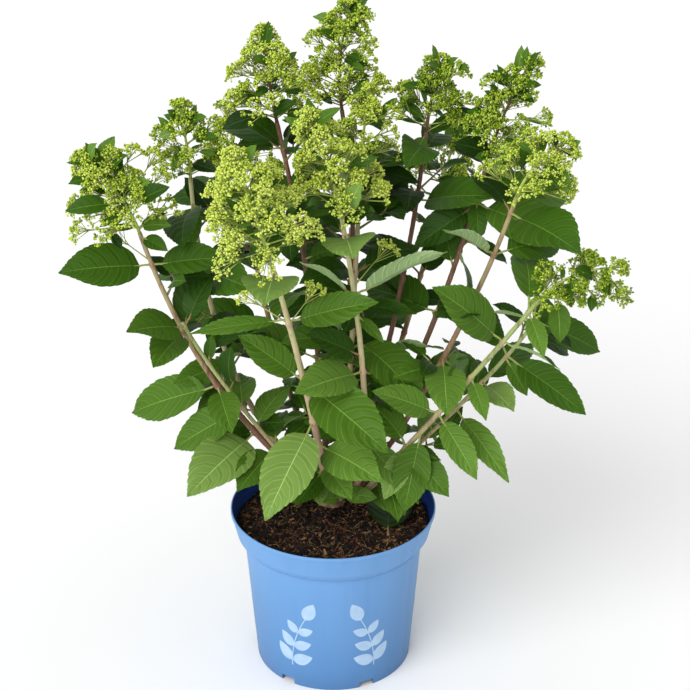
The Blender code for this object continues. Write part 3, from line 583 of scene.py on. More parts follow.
# Sizes in millimetres: where the cane leaves the stump, where its leafy stretch
# ends, how far its middle bows and its thickness at the foot.  Each pair of opposite
# leaves is its share of the cane's length, the turn of its first leaf round the cane in
# degrees from the plant's right, then for either leaf the blade's length and how many
# degrees more than usual it rises.  A flower head is its length, its width and how far
# it nods right and back, in degrees.  A side spray is its share, its turn and its reach.
Cane = namedtuple("Cane", "name foot tip bow thick pairs head sprays")
CANES = (
    Cane("far_left", (-16, 2, 208), (-195, -30, 525), (-18, -22), 8.0,
         ((0.30, 240, 102, -5, 62, 0), (0.50, 148, 102, -22, 66, -28),
          (0.70, 250, 70, -10, 84, -26), (0.91, 178, 88, 0, 76, -8)),
         (112, 108, -36, 0), ((0.92, 150, 46),)),
    Cane("left_thin", (-16, -10, 205), (-155, -40, 430), (-18, 16), 5.0,
         ((0.24, 255, 76, 0, 60, -10), (0.45, 265, 56, 0, 84, -15), (0.72, 250, 90, -30, 86, -15),
          (0.97, 225, 76, 20, 56, 30)), None, ()),
    Cane("left_back", (-14, 12, 210), (-150, 55, 555), (-28, -42), 7.5,
         ((0.35, 135, 62, 30, 94, -5), (0.52, 235, 88, 8, 66, -18),
          (0.76, 305, 98, -5, 80, -20), (0.92, 262, 78, -18, 84, 0)),
         (86, 90, -8, 0), ()),
    Cane("front_left", (-5, -14, 212), (-60, -110, 530), (2, 8), 9.0,
         ((0.21, 320, 90, 0, 60, -28), (0.31, 235, 106, -30, 60, -5),
          (0.48, 160, 76, 28, 104, -30), (0.72, 190, 90, 5, 86, 5),
          (0.93, 273, 78, 10, 70, -5)),
         (140, 136, -4, 0), ((0.72, 165, 48), (0.72, 15, 44))),
    Cane("front_middle", (22, -12, 208), (10, -55, 550), (18, -42), 8.5,
         ((0.34, 0, 62, -25, 68, -25), (0.60, 215, 82, -10, 62, -25),
          (0.82, 160, 62, 22, 100, 18), (0.96, 285, 82, 0, 64, 0)),
         (128, 112, -16, 0), ((0.84, 10, 52),)),
    Cane("middle", (12, 4, 210), (30, 25, 580), (0, 0), 6.5,
         ((0.45, 125, 68, -12, 96, -28), (0.68, 35, 72, 0, 68, -8),
          (0.90, 65, 86, 0, 68, 5)), (86, 92, 6, 0), ()),
    Cane("tall_back", (4, 20, 208), (10, 105, 615), (16, 0), 7.5,
         ((0.40, 60, 82, 0, 80, 0), (0.60, 150, 82, 0, 84, -5), (0.80, 50, 84, 0, 78, 0),
          (0.94, 150, 66, 0, 62, 0)), (128, 112, 26, 0), ()),
    Cane("centre_left", (-8, 16, 210), (-58, 62, 615), (12, -12), 7.5,
         ((0.38, 150, 82, 0, 76, 0), (0.56, 60, 84, 0, 82, -5), (0.74, 150, 80, 0, 76, 0),
          (0.93, 125, 84, 0, 60, 30)), (104, 112, 9, 0), ()),
    Cane("centre_right", (18, 16, 206), (100, 90, 595), (10, 2), 6.5,
         ((0.38, 130, 60, 5, 96, 15), (0.59, 100, 78, 0, 72, 0), (0.81, 150, 66, 10, 88, 10),
          (0.94, 255, 82, -10, 72, -5)), (86, 108, 10, 0), ()),
    Cane("right_back", (24, 8, 205), (160, 35, 575), (10, -6), 7.5,
         ((0.38, 20, 76, 0, 74, 0), (0.58, 112, 82, -10, 72, -10),
          (0.76, 264, 82, -20, 78, 0), (0.90, 25, 96, -10, 62, -12)),
         (130, 98, 14, 0), ()),
    Cane("right", (24, -2, 203), (185, -35, 565), (16, 2), 7.0,
         ((0.33, 300, 72, 0, 68, 0), (0.48, 235, 88, 0, 62, 0), (0.65, 50, 66, -10, 84, 16),
          (0.82, 35, 76, -5, 82, 18), (0.95, 300, 102, 0, 62, 0)),
         (86, 112, 40, 0), ((0.97, 160, 44),)),
    Cane("right_low", (24, -10, 200), (206, -85, 474), (10, 8), 6.5,
         ((0.26, 300, 62, -10, 58, 0), (0.43, 135, 82, -26, 70, -28),
          (0.61, 282, 60, -18, 82, -22), (0.79, 150, 84, 10, 62, 0),
          (0.94, 280, 58, -28, 80, 0)),
         (104, 72, 62, 0), ()),
    Cane("right_thin", (28, -4, 198), (215, -15, 425), (32, 26), 5.0,
         ((0.23, 265, 86, -10, 62, 0), (0.40, 290, 94, -20, 78, -26), (0.54, 65, 92, 10, 80, 0),
          (0.70, 345, 88, -22, 70, 0), (0.97, 25, 76, -22, 82, 5)), None, ()),
    Cane("rear_left", (-12, 26, 204), (-105, 185, 500), (-8, -12), 7.5,
         ((0.36, 90, 86, -10, 80, -10), (0.56, 180, 90, -5, 84, -5),
          (0.76, 90, 86, 0, 90, -5), (0.93, 180, 80, 0, 74, 0)), (108, 104, -8, 8), ()),
    Cane("rear_right", (14, 28, 204), (120, 185, 480), (8, -10), 7.5,
         ((0.36, 20, 88, -10, 80, -10), (0.56, 110, 86, -5, 90, -5),
          (0.76, 20, 90, 0, 84, 0), (0.93, 110, 78, 0, 82, 0)), (100, 100, 8, 8), ()),
    Cane("rear_thin", (2, 32, 200), (20, 215, 440), (4, -16), 5.5,
         ((0.38, 50, 78, -10, 84, -10), (0.60, 140, 84, -5, 80, 0), (0.80, 50, 80, 0, 86, 0),
          (0.97, 140, 74, 0, 68, 0)), None, ()),
)

# Short leafy shoots at the foot: the same columns as a cane.
SHOOTS = (
    Cane("low_front", (8, -12, 200), (5, -22, 221), (2, 0), 3.4,
         ((0.50, 220, 30, 12, 38, -5), (0.97, 325, 42, 10, 36, 30)), None, ()),
    Cane("low_right", (13, 18, 187), (50, 18, 217), (0, 2), 3.4,
         ((0.50, 278, 48, 5, 42, 0), (0.97, 298, 52, -25, 44, 0)), None, ()),
    Cane("low_left", (-13, -4, 200), (-18, -14, 232), (0, 2), 3.4,
         ((0.55, 140, 40, 0, 38, 0), (0.97, 240, 46, 0, 44, 5)), None, ()),
    Cane("low_back", (-6, 30, 192), (-14, 62, 224), (0, 4), 3.4,
         ((0.55, 30, 56, 0, 52, 0), (0.97, 120, 54, 0, 58, 0)), None, ()),
)


def cane_point(cane, share):
    """The cane's middle line: one even bow from its foot to its tip."""
    foot = Vector(cane.foot) * MM
    tip = Vector(cane.tip) * MM
    pull = (foot + tip) / 2 + Vector((cane.bow[0], 0, cane.bow[1])) * 2 * MM
    return foot * (1 - share) ** 2 + pull * 2 * share * (1 - share) + tip * share ** 2


def cane_direction(cane, share):
    step = 0.01
    return (cane_point(cane, share + step) - cane_point(cane, share - step)).normalized()


def cane_length(cane):
    return (cane_point(cane, 1) - cane_point(cane, 0)).length


def cane_radius(cane, share):
    thin = min(CANE_TIP_THICKNESS, 0.8 * cane.thick * MM)
    return (cane.thick * MM + (thin - cane.thick * MM) * share) / 2


def cane_tube(cane, start, end, spare=0.0):
    """A stretch of a cane between two shares of its length."""
    count = max(1, round(cane_length(cane) * (end - start) / STEM_RING_STEP))
    shares = [start + (end - start) * index / count for index in range(count + 1)]
    return tube([cane_point(cane, share) for share in shares],
                [cane_radius(cane, share) + spare for share in shares], STEM_SIDES,
                [cane_direction(cane, share) for share in shares])


def stub_share(cane):
    """Where the stump's own stub ends and the cane or shoot begins."""
    return (SHOOT_STUB_LENGTH if cane in SHOOTS else CANE_STUB_LENGTH) / cane_length(cane)


def stump_middle(share, base):
    """The leaning trunk's middle line, from the compost to its top."""
    across_it = STUMP_FOOT.lerp(STUMP_TOP, share)
    return Vector((across_it.x, across_it.y, base + (STUMP_TOP_HEIGHT - base) * share))


def stump_shapes():
    """A flared foot with one short stub towards every cane and shoot."""
    base = SOIL_HEIGHT + GAP
    shares = (0, 0.12, 0.38, 0.8, 1.0)
    radii = (STUMP_FLARE_RADIUS, 0.72 * STUMP_FLARE_RADIUS, STUMP_WAIST_RADIUS,
             STUMP_TOP_RADIUS, STUMP_TOP_RADIUS * 0.7)
    upright = [Vector((0, 0, 1))] * len(shares)
    shapes = [tube([stump_middle(share, base) for share in shares], radii, STUMP_SIDES,
                   upright)]
    for cane in CANES + SHOOTS:
        end = stub_share(cane)
        foot = cane_point(cane, 0)
        drop = max(STUMP_TOP_HEIGHT - foot.z + STUB_DIP, LEAST_DIP)
        inside = stump_middle(1 - drop / (STUMP_TOP_HEIGHT - base), base).lerp(foot, 0.2)
        shapes.append(tube([inside, cane_point(cane, end)],
                           [cane_radius(cane, 0) * 1.4, cane_radius(cane, end)], STEM_SIDES,
                           [(foot - inside).normalized(), cane_direction(cane, end)]))
    return shapes


def head_axis(cane, share):
    """A point and a direction on the flower head's own stalk, which nods evenly."""
    length, _, nod_right, nod_back = cane.head
    rise = cane_direction(cane, 1.0)
    nod = Vector((nod_right, nod_back, 0.0))
    bend = math.radians(nod.length)
    away = squared(nod, rise)
    angle = bend * share
    reach = 0.86 * length * MM / bend
    place = (cane_point(cane, 1.0) + rise * (reach * math.sin(angle))
             + away * (reach * (1 - math.cos(angle))))
    return place, rise * math.cos(angle) + away * math.sin(angle)


def rachis(cane, spare=0.0, rings=3, sides=STEM_SIDES):
    """The stalk of a flower head, just clear of the leafy stretch below."""
    start = GAP / (cane.head[0] * MM)
    shares = [start + (1 - start) * step / rings for step in range(rings + 1)]
    return tube([head_axis(cane, share)[0] for share in shares],
                [RACHIS_RADIUS * (1 - 0.55 * share) + spare for share in shares], sides,
                [head_axis(cane, share)[1] for share in shares])


def branch_way(axis, turn, share):
    """Which way a flower head's branch grows: the more upright, the higher it stands."""
    outwards, _ = across(axis, turn)
    lean = math.radians(BRANCH_LEAN - BRANCH_LEAN_FALL * share)
    return axis * math.cos(lean) + outwards * math.sin(lean)


def cone_reach(cane, share, inset):
    """How far the branches reach at this share of the flower head's height."""
    return (cane.head[1] / 2 * MM - inset * LUMP_RADIUS) * (1 - HEAD_TAPER * share) ** 0.9


def head_fingers(cane, rng):
    """The branches of a flower head: tiers that shorten upwards to a cone."""
    tiers = max(3, round(cane.head[0] / TIER_SPACING))
    fingers = []
    turn = rng.uniform(0, 360)
    for tier in range(tiers):
        share = 0.04 + 0.80 * tier / tiers
        reach = cone_reach(cane, share, 0.55)
        count = max(2, round(math.tau * reach / LUMP_SPACING))
        root, axis = head_axis(cane, share)
        radius = LUMP_RADIUS * (1.0 - 0.35 * share)
        for index in range(count):
            way = branch_way(axis, turn + 360 * index / count + rng.uniform(-14, 14), share)
            grown = reach * rng.uniform(0.84, 1.05)
            start, _ = head_axis(cane, share + 0.03 * index)
            fingers.append(Finger(start, root + way * grown, radius * rng.uniform(0.88, 1.1)))
        turn += 90
    root, _ = head_axis(cane, 0.86)
    top, axis = head_axis(cane, 1.0)
    fingers.append(Finger(root, top + axis * 3 * MM, LUMP_RADIUS * 0.62))
    return fingers


def side_spray(cane, spray):
    """A small cluster of buds on a long stalk from a leaf's axil."""
    share, turn, reach = spray
    stem = cane_direction(cane, share)
    outwards, _ = across(stem, turn)
    root = cane_point(cane, share)
    way = (stem * 0.7 + outwards * 0.75).normalized()
    return Finger(root, root + way * reach * MM, LUMP_RADIUS * 0.85)


def finger_shape(finger, spare):
    """The space of one branch: a three-sided stalk that opens into a six-sided cluster."""
    way = (finger.tip - finger.root).normalized()
    first, second = across(way)
    axis = (way + Vector((0, 0, 0.5))).normalized()
    wide, deep = across(axis)
    radius = finger.radius + spare
    stalk = BRANCH_RADIUS + spare
    verts = ring(finger.root, first, second, stalk * 1.2, 3)
    verts += ring(finger.tip - way * radius * 0.75, first, second, stalk * 1.6, 3)
    start = math.atan2(first.dot(deep), first.dot(wide))
    verts += ring(finger.tip, wide, deep, radius, 6, start)
    verts.append(finger.tip + axis * radius * 0.6)
    faces = [(2, 1, 0)]
    for side in range(3):
        after = (side + 1) % 3
        faces.append((side, after, 3 + after, 3 + side))
        near, middle, far = 6 + 2 * side, 7 + 2 * side, 6 + (2 * side + 2) % 6
        faces += [(3 + side, middle, near), (3 + side, 3 + after, middle),
                  (3 + after, far, middle), (near, middle, 12), (middle, far, 12)]
    return verts, faces


def blade_point(leaf, share, side=0.0, lift=0.0):
    """A point on a blade that arches about its own face."""
    bend = leaf.droop * share
    along = leaf.heading * math.sin(bend) - leaf.face * (1 - math.cos(bend))
    place = leaf.base + along * (leaf.length / leaf.droop)
    up = leaf.face * math.cos(bend) + leaf.heading * math.sin(bend)
    flank = leaf.heading.cross(leaf.face)
    fold = math.radians(LEAF_FOLD)
    return (place + flank * side * math.cos(fold)
            + up * (abs(side) * math.sin(fold) + lift))


def blade_half_width(leaf, share):
    """Broadest below the middle, drawn out to a point."""
    outline = math.sin(math.pi * share ** 0.8) ** 0.9 * (1 - 0.25 * share ** 3)
    return leaf.width / 2 * outline


def leaf_shape(leaf, stations=BLADE_STATIONS, stalk=PETIOLE_RADIUS):
    """The space of one leaf: its stalk from the stem's middle, then the blade to its tip."""
    half_thickness = leaf.length * LEAF_THICKNESS_SHARE / 2 + GAP
    way = (leaf.base - leaf.root).normalized()
    flank = way.cross(leaf.face).normalized()
    lift = flank.cross(way)
    radius = stalk + GAP
    verts = []
    for point in (leaf.root, leaf.base):
        verts += [point - flank * radius, point + lift * radius,
                  point + flank * radius, point - lift * radius]
    for share in stations:
        half = blade_half_width(leaf, share) + GAP
        thick = half_thickness * (1.1 - 0.6 * share)
        verts += [blade_point(leaf, share, -half), blade_point(leaf, share, 0, thick),
                  blade_point(leaf, share, half), blade_point(leaf, share, 0, -thick)]
    last = len(verts) - 4
    verts.append(blade_point(leaf, 1.0))
    faces = [(3, 2, 1, 0)]
    for corner in range(4):
        turn = (corner + 1) % 4
        for start in range(0, last, 4):
            faces.append((start + corner, start + turn, start + turn + 4, start + corner + 4))
        faces.append((last + corner, last + turn, last + 4))
    return verts, faces


# The space that each thing takes, under the name of what it belongs to.
taken = [(name, mesh_tree(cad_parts[name].data)) for name in ("pot", "soil")]


def shape_tree(shape):
    return BVHTree.FromPolygons([tuple(vert) for vert in shape[0]], shape[1])


def take_place(owner, shape):
    taken.append((owner, shape_tree(shape)))


def is_clear(shape, own):
    tree = shape_tree(shape)
    return not any(tree.overlap(other) for owner, other in taken if owner not in own)


def grow_fingers(fingers, own):
    """Keep the branches whose stalk and cluster touch no other piece."""
    kept = []
    for finger in fingers:
        shape = finger_shape(finger, 2 * GAP)
        if is_clear(shape, own):
            kept.append(finger)
            take_place(own[0], shape)
    return kept


def bract(root, heading, light, stalk, droop, length, width):
    """A small leaf on hardly any stalk, with its face to the light."""
    return Leaf(root, root + heading * stalk * MM, heading, squared(light, heading),
                math.radians(droop), length, width)


def bract_shape(leaf):
    return leaf_shape(leaf, BRACT_STATIONS, BRACT_STALK_RADIUS)


def head_names(cane):
    """What the parts of a flower head may touch: its own stalk and its own cane."""
    return "head_" + cane.name, "stem_" + cane.name


def grow_bracts(cane, rng, own):
    """Small leaves at the foot of a flower head's lowest branches."""
    bracts = []
    for tier, share in enumerate((0.06, 0.36)):
        root, axis = head_axis(cane, share)
        turn = rng.uniform(0, 360)
        for side in (0, 180):
            outwards, _ = across(axis, turn + side)
            heading = (outwards + axis * 0.35).normalized()
            length = BRACT_LENGTH * (1.0 - 0.35 * tier) * rng.uniform(0.85, 1.15)
            bracts.append(bract(root, heading, axis + LIGHT * 0.5, 4, 24, length,
                                length * 0.42))
    kept = []
    for leaf in bracts:
        if is_clear(bract_shape(leaf), own):
            kept.append(leaf)
            take_place(own[0], bract_shape(leaf))
    return kept


def propose_leaf(cane, share, turn, length, rise, sway):
    """A leaf whose blade swings forward, levels out and opens to the light."""
    stem = cane_direction(cane, share)
    swing = FORWARD_SWING * math.sin(math.radians(turn - 270))
    outwards, _ = across(stem, turn - swing)
    spread = math.radians(PETIOLE_SPREAD)
    stalk = stem * math.cos(spread) + outwards * math.sin(spread)
    root = cane_point(cane, share)
    base = root + stalk * (PETIOLE_LENGTH * length / USUAL_BLADE)
    pitch = math.radians(LEAF_RISE + rise) + LEAF_LEVELLING * math.asin(stalk.z)
    flat = Vector((stalk.x, stalk.y, 0.0)).normalized()
    heading = flat * math.cos(pitch) + Vector((0, 0, math.sin(pitch)))
    open_side = Vector((base.x, base.y, 0.0)).normalized() * OPENNESS
    light = LIGHT + open_side + Vector((sway, 0.0, 0.0))
    return Leaf(root, base, heading, squared(light, heading), math.radians(LEAF_DROOP), length,
                length * LEAF_WIDTH_SHARE)


def picture_spot(point):
    """Where the photograph shows this place, in its pixels, and how far off it is."""
    turned = Matrix.Rotation(-EYE_TILT, 3, "X") @ (point - EYE)
    zoom = FOCAL / -turned.z
    return (PICTURE / 2 + turned.x * zoom, PICTURE / 2 - turned.y * zoom), -turned.z


def seen_place(across_it, down, back):
    """The place that the photograph shows at this pixel, so many millimetres back."""
    way = Vector((across_it - PICTURE / 2, PICTURE / 2 - down, -FOCAL))
    way = Matrix.Rotation(EYE_TILT, 3, "X") @ way
    return EYE + way * ((back * MM - EYE.y) / way.y)


def hides_sky(points, spare=0.0):
    """Whether any of the points stands in front of or behind an open place."""
    for point in points:
        spot, away = picture_spot(point)
        margin = spare * FOCAL / away
        for along, down, size in OPEN_PLACES:
            if math.dist(spot, (along, down)) < size + margin:
                return True
    return False


def leaf_places(leaf):
    """Points spread over a blade."""
    places = []
    for step in range(9):
        half = 0.9 * blade_half_width(leaf, step / 8)
        places += [blade_point(leaf, step / 8, side * half) for side in (-1, -0.4, 0.4, 1)]
    return places


def each_leaf(cane):
    """Every leaf that a cane has by plan: its share, its turn, its length and its rise."""
    for share, turn, length, rise, mate_length, mate_rise in cane.pairs:
        yield share, turn, length * MM, rise
        yield share, turn + 180, mate_length * MM, mate_rise


def grow_leaf(cane, share, turn, length, rise, sway, keep_sky=False):
    """The first nudge of a leaf that touches nothing, or none at all."""
    pair = f"pair_{cane.name}_{share}"
    for extra_turn, extra_rise in NUDGES:
        leaf = propose_leaf(cane, share, turn + extra_turn, length, rise + extra_rise, sway)
        if keep_sky and hides_sky(leaf_places(leaf)):
            continue
        if is_clear(leaf_shape(leaf), ("stem_" + cane.name, pair)):
            take_place(pair, leaf_shape(leaf))
            return leaf
    return None


stump_parts = stump_shapes()
for shape in stump_parts:
    take_place("stump", shape)
for cane in CANES + SHOOTS:
    take_place("stem_" + cane.name, cane_tube(cane, stub_share(cane), 1.0, GAP))
    if cane.head:
        take_place("head_" + cane.name, rachis(cane, GAP))
heads = {}
for number, cane in enumerate(CANES):
    rng = random.Random(PLANT_SEED * 100 + number)
    if cane.head:
        heads[cane.name] = (grow_fingers(head_fingers(cane, rng), head_names(cane)),
                            grow_bracts(cane, rng, head_names(cane)))
sprays = {cane.name: grow_fingers([side_spray(cane, spray) for spray in cane.sprays],
                                  ("spray_" + cane.name, "stem_" + cane.name))
          for cane in CANES}
leaves = {}
for number, cane in enumerate(CANES + SHOOTS):
    rng = random.Random(PLANT_SEED * 1000 + number)
    grown = [grow_leaf(cane, *place, rng.uniform(-SWAY, SWAY)) for place in each_leaf(cane)]
    leaves[cane.name] = [leaf for leaf in grown if leaf]

# The stump is a short knobby trunk of old wood with flaking bark.  It leans forward, flares
# at the compost and carries a stub for each cane.  The limbs are drawn together into one
# skin, and the skin is roughened.
STUMP_SKIN = 1.0 * MM

rough_stump = ([], [], [])
for shape in stump_parts:
    join_shape(rough_stump, shape)
for cane in CANES + SHOOTS:
    knuckle = cane_point(cane, 0.3 * stub_share(cane))
    thick = cane_radius(cane, 0)
    bulge = [knuckle + cane_direction(cane, 0) * thick * step for step in (-1.2, 0, 1.2)]
    join_shape(rough_stump, tube(bulge, [thick * 0.8, thick * 1.45, thick * 0.8], 8))
stump = add_piece("stump_wood", rough_stump, [])
reshape(stump, "REMESH", mode="VOXEL", voxel_size=STUMP_SKIN)
reshape(stump, "SMOOTH", iterations=3)
outwards_at = [vert.normal.copy() for vert in stump.data.vertices]
for vert, outwards in zip(stump.data.vertices, outwards_at):
    place = Vector((vert.co.x * 260, vert.co.y * 260, vert.co.z * 110))
    flake = abs(noise.noise(place)) ** 0.6 * 1.6 + noise.noise(place * 3.1) * 0.5
    vert.co += outwards * (flake - 0.6) * MM
bpy.ops.object.shade_smooth()


def bark_finish(name, old, young, scar, streak_scale=300):
    """Thin woody bark: old colour at the foot, young colour at the tip, dark streaks."""
    finish = plain_finish(name, old, 0.62, 0.4)
    age = point_mark(finish, "growth")
    streaks = grain(finish, streak_scale, 5, (1, 1, 0.14))
    specks = grain(finish, 900, 2)
    colour = blend_colours(finish, age, old, young, 0.15, 0.85)
    colour = blend_colours(finish, streaks, colour, scar, 0.52, 0.82)
    colour = blend_colours(finish, specks, colour, tone(206, 188, 160), 0.66, 0.82)
    set_surface(finish, Base_Color=colour)
    vary_roughness(finish, streaks, 0.5, 0.8)
    raise_grain(finish, streaks, 0.35 * MM)
    return finish


old_bark = bark_finish("old_bark", tone(112, 82, 62), tone(150, 118, 90), tone(52, 34, 26), 240)
mark_points(stump, "growth", [0.5 + noise.noise(vert.co * 220) for vert in stump.data.vertices])
stump.data.materials.append(old_bark)
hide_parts("stump")

# The canes are round young wood, ringed at every pair of leaves and speckled with pores.
# Bark runs from the stump to the flower head, reddish brown low down and green higher up.
BARK_SIDES = 12
BARK_STEP = 2.6 * MM
NODE_RING = 5 * MM
OLD_STRETCH = 0.25
FLAKIEST = "front_left"
FLAKING = 0.35
BARK_KINDS = {kind: bark_finish(kind + "_bark", tone(*old), tone(*young), tone(*scar))
              for kind, old, young, scar in (
                  ("tan", (186, 154, 128), (190, 188, 138), (130, 94, 72)),
                  ("red", (122, 86, 68), (118, 84, 62), (64, 36, 30)),
                  ("brown", (134, 92, 74), (168, 152, 112), (88, 50, 42)),
                  ("green", (172, 158, 116), (154, 172, 104), (116, 96, 62)))}
BARK_OF = {"tan": ("left_back", "front_left", "front_middle", "middle"),
           "red": ("centre_right", "right_back", "centre_left", "tall_back"),
           "green": ("left_thin", "right_low", "right_thin", "low_front", "low_right",
                     "low_left", "low_back")}


def node_swelling(cane, length_on):
    """How much thicker the cane is here than its taper: a knuckle at each pair of leaves."""
    swelling = 0.0
    for pair in cane.pairs:
        away = (length_on - pair[0] * cane_length(cane)) / MM
        swelling += 0.34 * math.exp(-(away / 2.6) ** 2) - 0.10 * math.exp(-((away - 4) / 1.2) ** 2)
    return swelling


def bark_tube(cane, start, rough):
    """The cane's skin with its knuckles, ridges and flakes, and the growth at each point."""
    count = max(4, round(cane_length(cane) * (1 - start) / BARK_STEP))
    shares = [start + (1 - start) * index / count for index in range(count + 1)]
    middles = [cane_point(cane, share) for share in shares]
    radii = [cane_radius(cane, share) * (0.8 + 0.2 * min(1.0, share / 0.35))
             * (1 + node_swelling(cane, share * cane_length(cane))) for share in shares]
    verts, faces = tube(middles, radii, BARK_SIDES,
                       [cane_direction(cane, share) for share in shares])
    grown = []
    for index, vert in enumerate(verts):
        share = shares[index // BARK_SIDES]
        outwards = vert - middles[index // BARK_SIDES]
        along = Vector((vert.x * 700, vert.y * 700, vert.z * 90))
        relief = noise.noise(along) * 0.10 + noise.noise(vert * 1500) * 0.05
        old = max(0.0, 1 - share / OLD_STRETCH) * rough
        relief += old * (abs(noise.noise(vert * 330)) * 0.9 + noise.noise(vert * 900) * 0.25)
        verts[index] = vert + outwards * relief
        ringed = sum(math.exp(-((share - pair[0]) * cane_length(cane) / NODE_RING) ** 2)
                     for pair in cane.pairs)
        age = share * 1.25 - 0.22 - 0.5 * ringed + noise.noise(vert * 60) * 0.3
        grown.append(min(1.0, max(0.0, age)))
    return verts, faces, grown


for cane in CANES + SHOOTS:
    kind = next((kind for kind, names in BARK_OF.items() if cane.name in names), "brown")
    rough = 1.0 if cane.name == FLAKIEST else FLAKING
    verts, faces, grown = bark_tube(cane, 0.55 * stub_share(cane), rough)
    bark = add_piece("bark_" + cane.name, (verts, faces), [BARK_KINDS[kind]])
    mark_points(bark, "growth", grown)
    if cane in CANES:
        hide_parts("cane_" + cane.name)

# The leaves are opposite pairs, ovate and drawn out to a point, with a toothed edge, a pale
# sunk midrib and arching side veins that quilt the blade, and a paler underside.  Each is
# one closed sheet on a short stalk, in the place of the solid leaf.
SIDE_VEINS = 7
VEIN_HALF = 0.004
VEIN_SWEEP = 0.26
QUILT = 0.022
WAVE = 0.022
TOOTH = 0.013
TWIST = 0.18
RIB_DEPTH = 0.011
SHEET_DEPTH = 0.004
BLADE_COLUMNS = (-1, -0.74, -0.42, -0.018, 0.018, 0.42, 0.74, 1)
SMALL_COLUMNS = (-1, -0.5, -0.03, 0.03, 0.5, 1)
HANG = 1.3
MOVED_DROOP = 22
MOVED_STALK = 0.13
MOVED_LIGHT = LIGHT - Vector((0, 0.25, 0))
LONG_BLADE = 55 * MM
TURN_FORWARD = 0.2
PAINTED_LIGHT_BELOW = 0.47
# Painted light: leaves whose middle is below this height are painted in paler greens.
SHARP_FOLD = 60
MOST_SKY_HIDDEN = 0.2
# Where the photograph shows the points of the plainest leaves, by cane and by leaf: across
# and down in pixels, then how far back in millimetres.  Some rows go on with how wide the
# leaf is beside the rest, as some are folded or turned edge on, then how many steps of green
# it is painted paler, as painted light on that leaf.
MOVED = {
    "far_left": {0: (187, 497, -108, 1.1, 1), 2: (132, 413, 31, 0.85), 3: (232, 434, -77),
                 4: (153, 368, -95), 5: (198, 263, 0), 6: (58, 273, -62, 1.25),
                 7: (229, 258, -20)},
    "left_thin": {0: (237, 492, -99), 2: (174, 449, -19), 3: (239, 373, 58),
                  4: (212, 334, -19), 6: (126, 332, -105)},
    "left_back": {1: (173, 384, 0)},
    "front_left": {0: (382, 482, -118), 1: (277, 451, 12), 2: (265, 521, -136, 1, 1),
                   4: (238, 335, -41), 5: (388, 453, -129), 6: (265, 306, -194, 1.25, 2)},
    "front_middle": {0: (407, 490, -56), 2: (408, 384, -5), 3: (299, 262, -30),
                     4: (448, 252, -86), 5: (353, 259, -147, 1.3, 2)},
    "right_back": {2: (366, 288, 112), 4: (466, 296, -61), 7: (569, 247, -28)},
    "right": {1: (447, 417, -110), 2: (472, 386, 35), 3: (455, 322, -20, 0.7),
              6: (442, 230, -86), 7: (581, 254, -135, 1.1)},
    "right_low": {0: (449, 497, -65), 2: (372, 391, -58), 3: (477, 480, -90, 0.8),
                  4: (486, 421, -116, 0.7), 5: (432, 287, -96), 6: (560, 370, -108),
                  7: (544, 358, -136, 0.7, 1)},
    "right_thin": {1: (509, 483, -85, 0.6), 3: (534, 343, 80, 0.6), 4: (514, 412, -100, 0.8, 1),
                   5: (586, 415, -44, 0.85), 7: (600, 352, 9), 8: (487, 313, -19)},
    "centre_right": {0: (345, 332, 40), 1: (444, 350, -47), 4: (497, 197, 0)},
    "rear_left": {1: (310, 392, 60)},
    "rear_right": {4: (452, 228, 150)},
}
# Plain leaves beside those of the solid masses: the share of the cane's length, then the same.
SHOWN = {
    "far_left": ((0.99, 168, 251, -50, 1.1, 1),),
    "left_back": ((0.95, 187, 253, 20), (0.80, 214, 290, 10, 0.8, 1)),
    "centre_left": ((0.66, 345, 246, 20),),
    "tall_back": ((0.76, 413, 210, 59), (0.71, 355, 191, 20)),
    "front_left": ((0.73, 379, 302, -105, 0.75), (0.74, 190, 334, -105, 0.35, 1),
                   (0.10, 295, 506, -74), (0.13, 352, 500, -80)),
    "front_middle": ((0.60, 294, 394, -111), (0.65, 306, 334, -57), (0.77, 384, 343, -69, 0.6)),
    "middle": ((0.59, 417, 314, 9, 0.6),),
    "right_back": ((0.47, 426, 387, 10), (0.71, 439, 208, 60), (0.89, 414, 248, 19),
                   (0.91, 478, 241, 4)),
    "right_low": ((0.34, 404, 512, -59), (0.28, 384, 500, -59)),
    "right_thin": ((0.69, 527, 396, -29),),
}
# A few leaves have curled over and show their pale backs: which way their upper side faces.
CURLED_WIDTH = 0.6
CURLED = {("front_middle", 4): (0.1, 0.7, 0.9), ("front_middle", 3): (-0.1, 0.7, 0.9),
          ("front_left", 1): (0.2, 1.0, 0.4), ("right", 6): (0.1, 0.6, 0.9),
          ("right_low", 6): (0.2, 0.5, 0.9), ("centre_right", 1): (0.0, 0.6, 0.9),
          ("right_thin", 8): (0.1, 0.5, 0.9), ("right_back", 4): (0.9, -0.5, 0.3)}


def blade_rows(veins):
    """Rows from base to tip, a close couple at each side vein, with the tooth each holds."""
    rows = [(0.25 / veins, 0.0)]
    for vein in range(veins):
        middle = (vein + 0.5) / veins
        rows += [(middle - VEIN_HALF, 1.0), (middle + VEIN_HALF, 0.1)]
        rows += [(middle + step / veins, tooth)
                 for step, tooth in ((0.18, 0.6), (0.34, 1.0), (0.42, 0.1), (0.72, 1.0))]
    return rows[:-1]


def blade_edge(leaf, share):
    """Half the blade's width as it grows: round at the foot, hollow towards the point."""
    along = min(1.0, share) ** 0.92
    return leaf.width / 2 * (4 * along * (1 - along)) ** 0.6 * (1 - 0.85 * along ** 5)


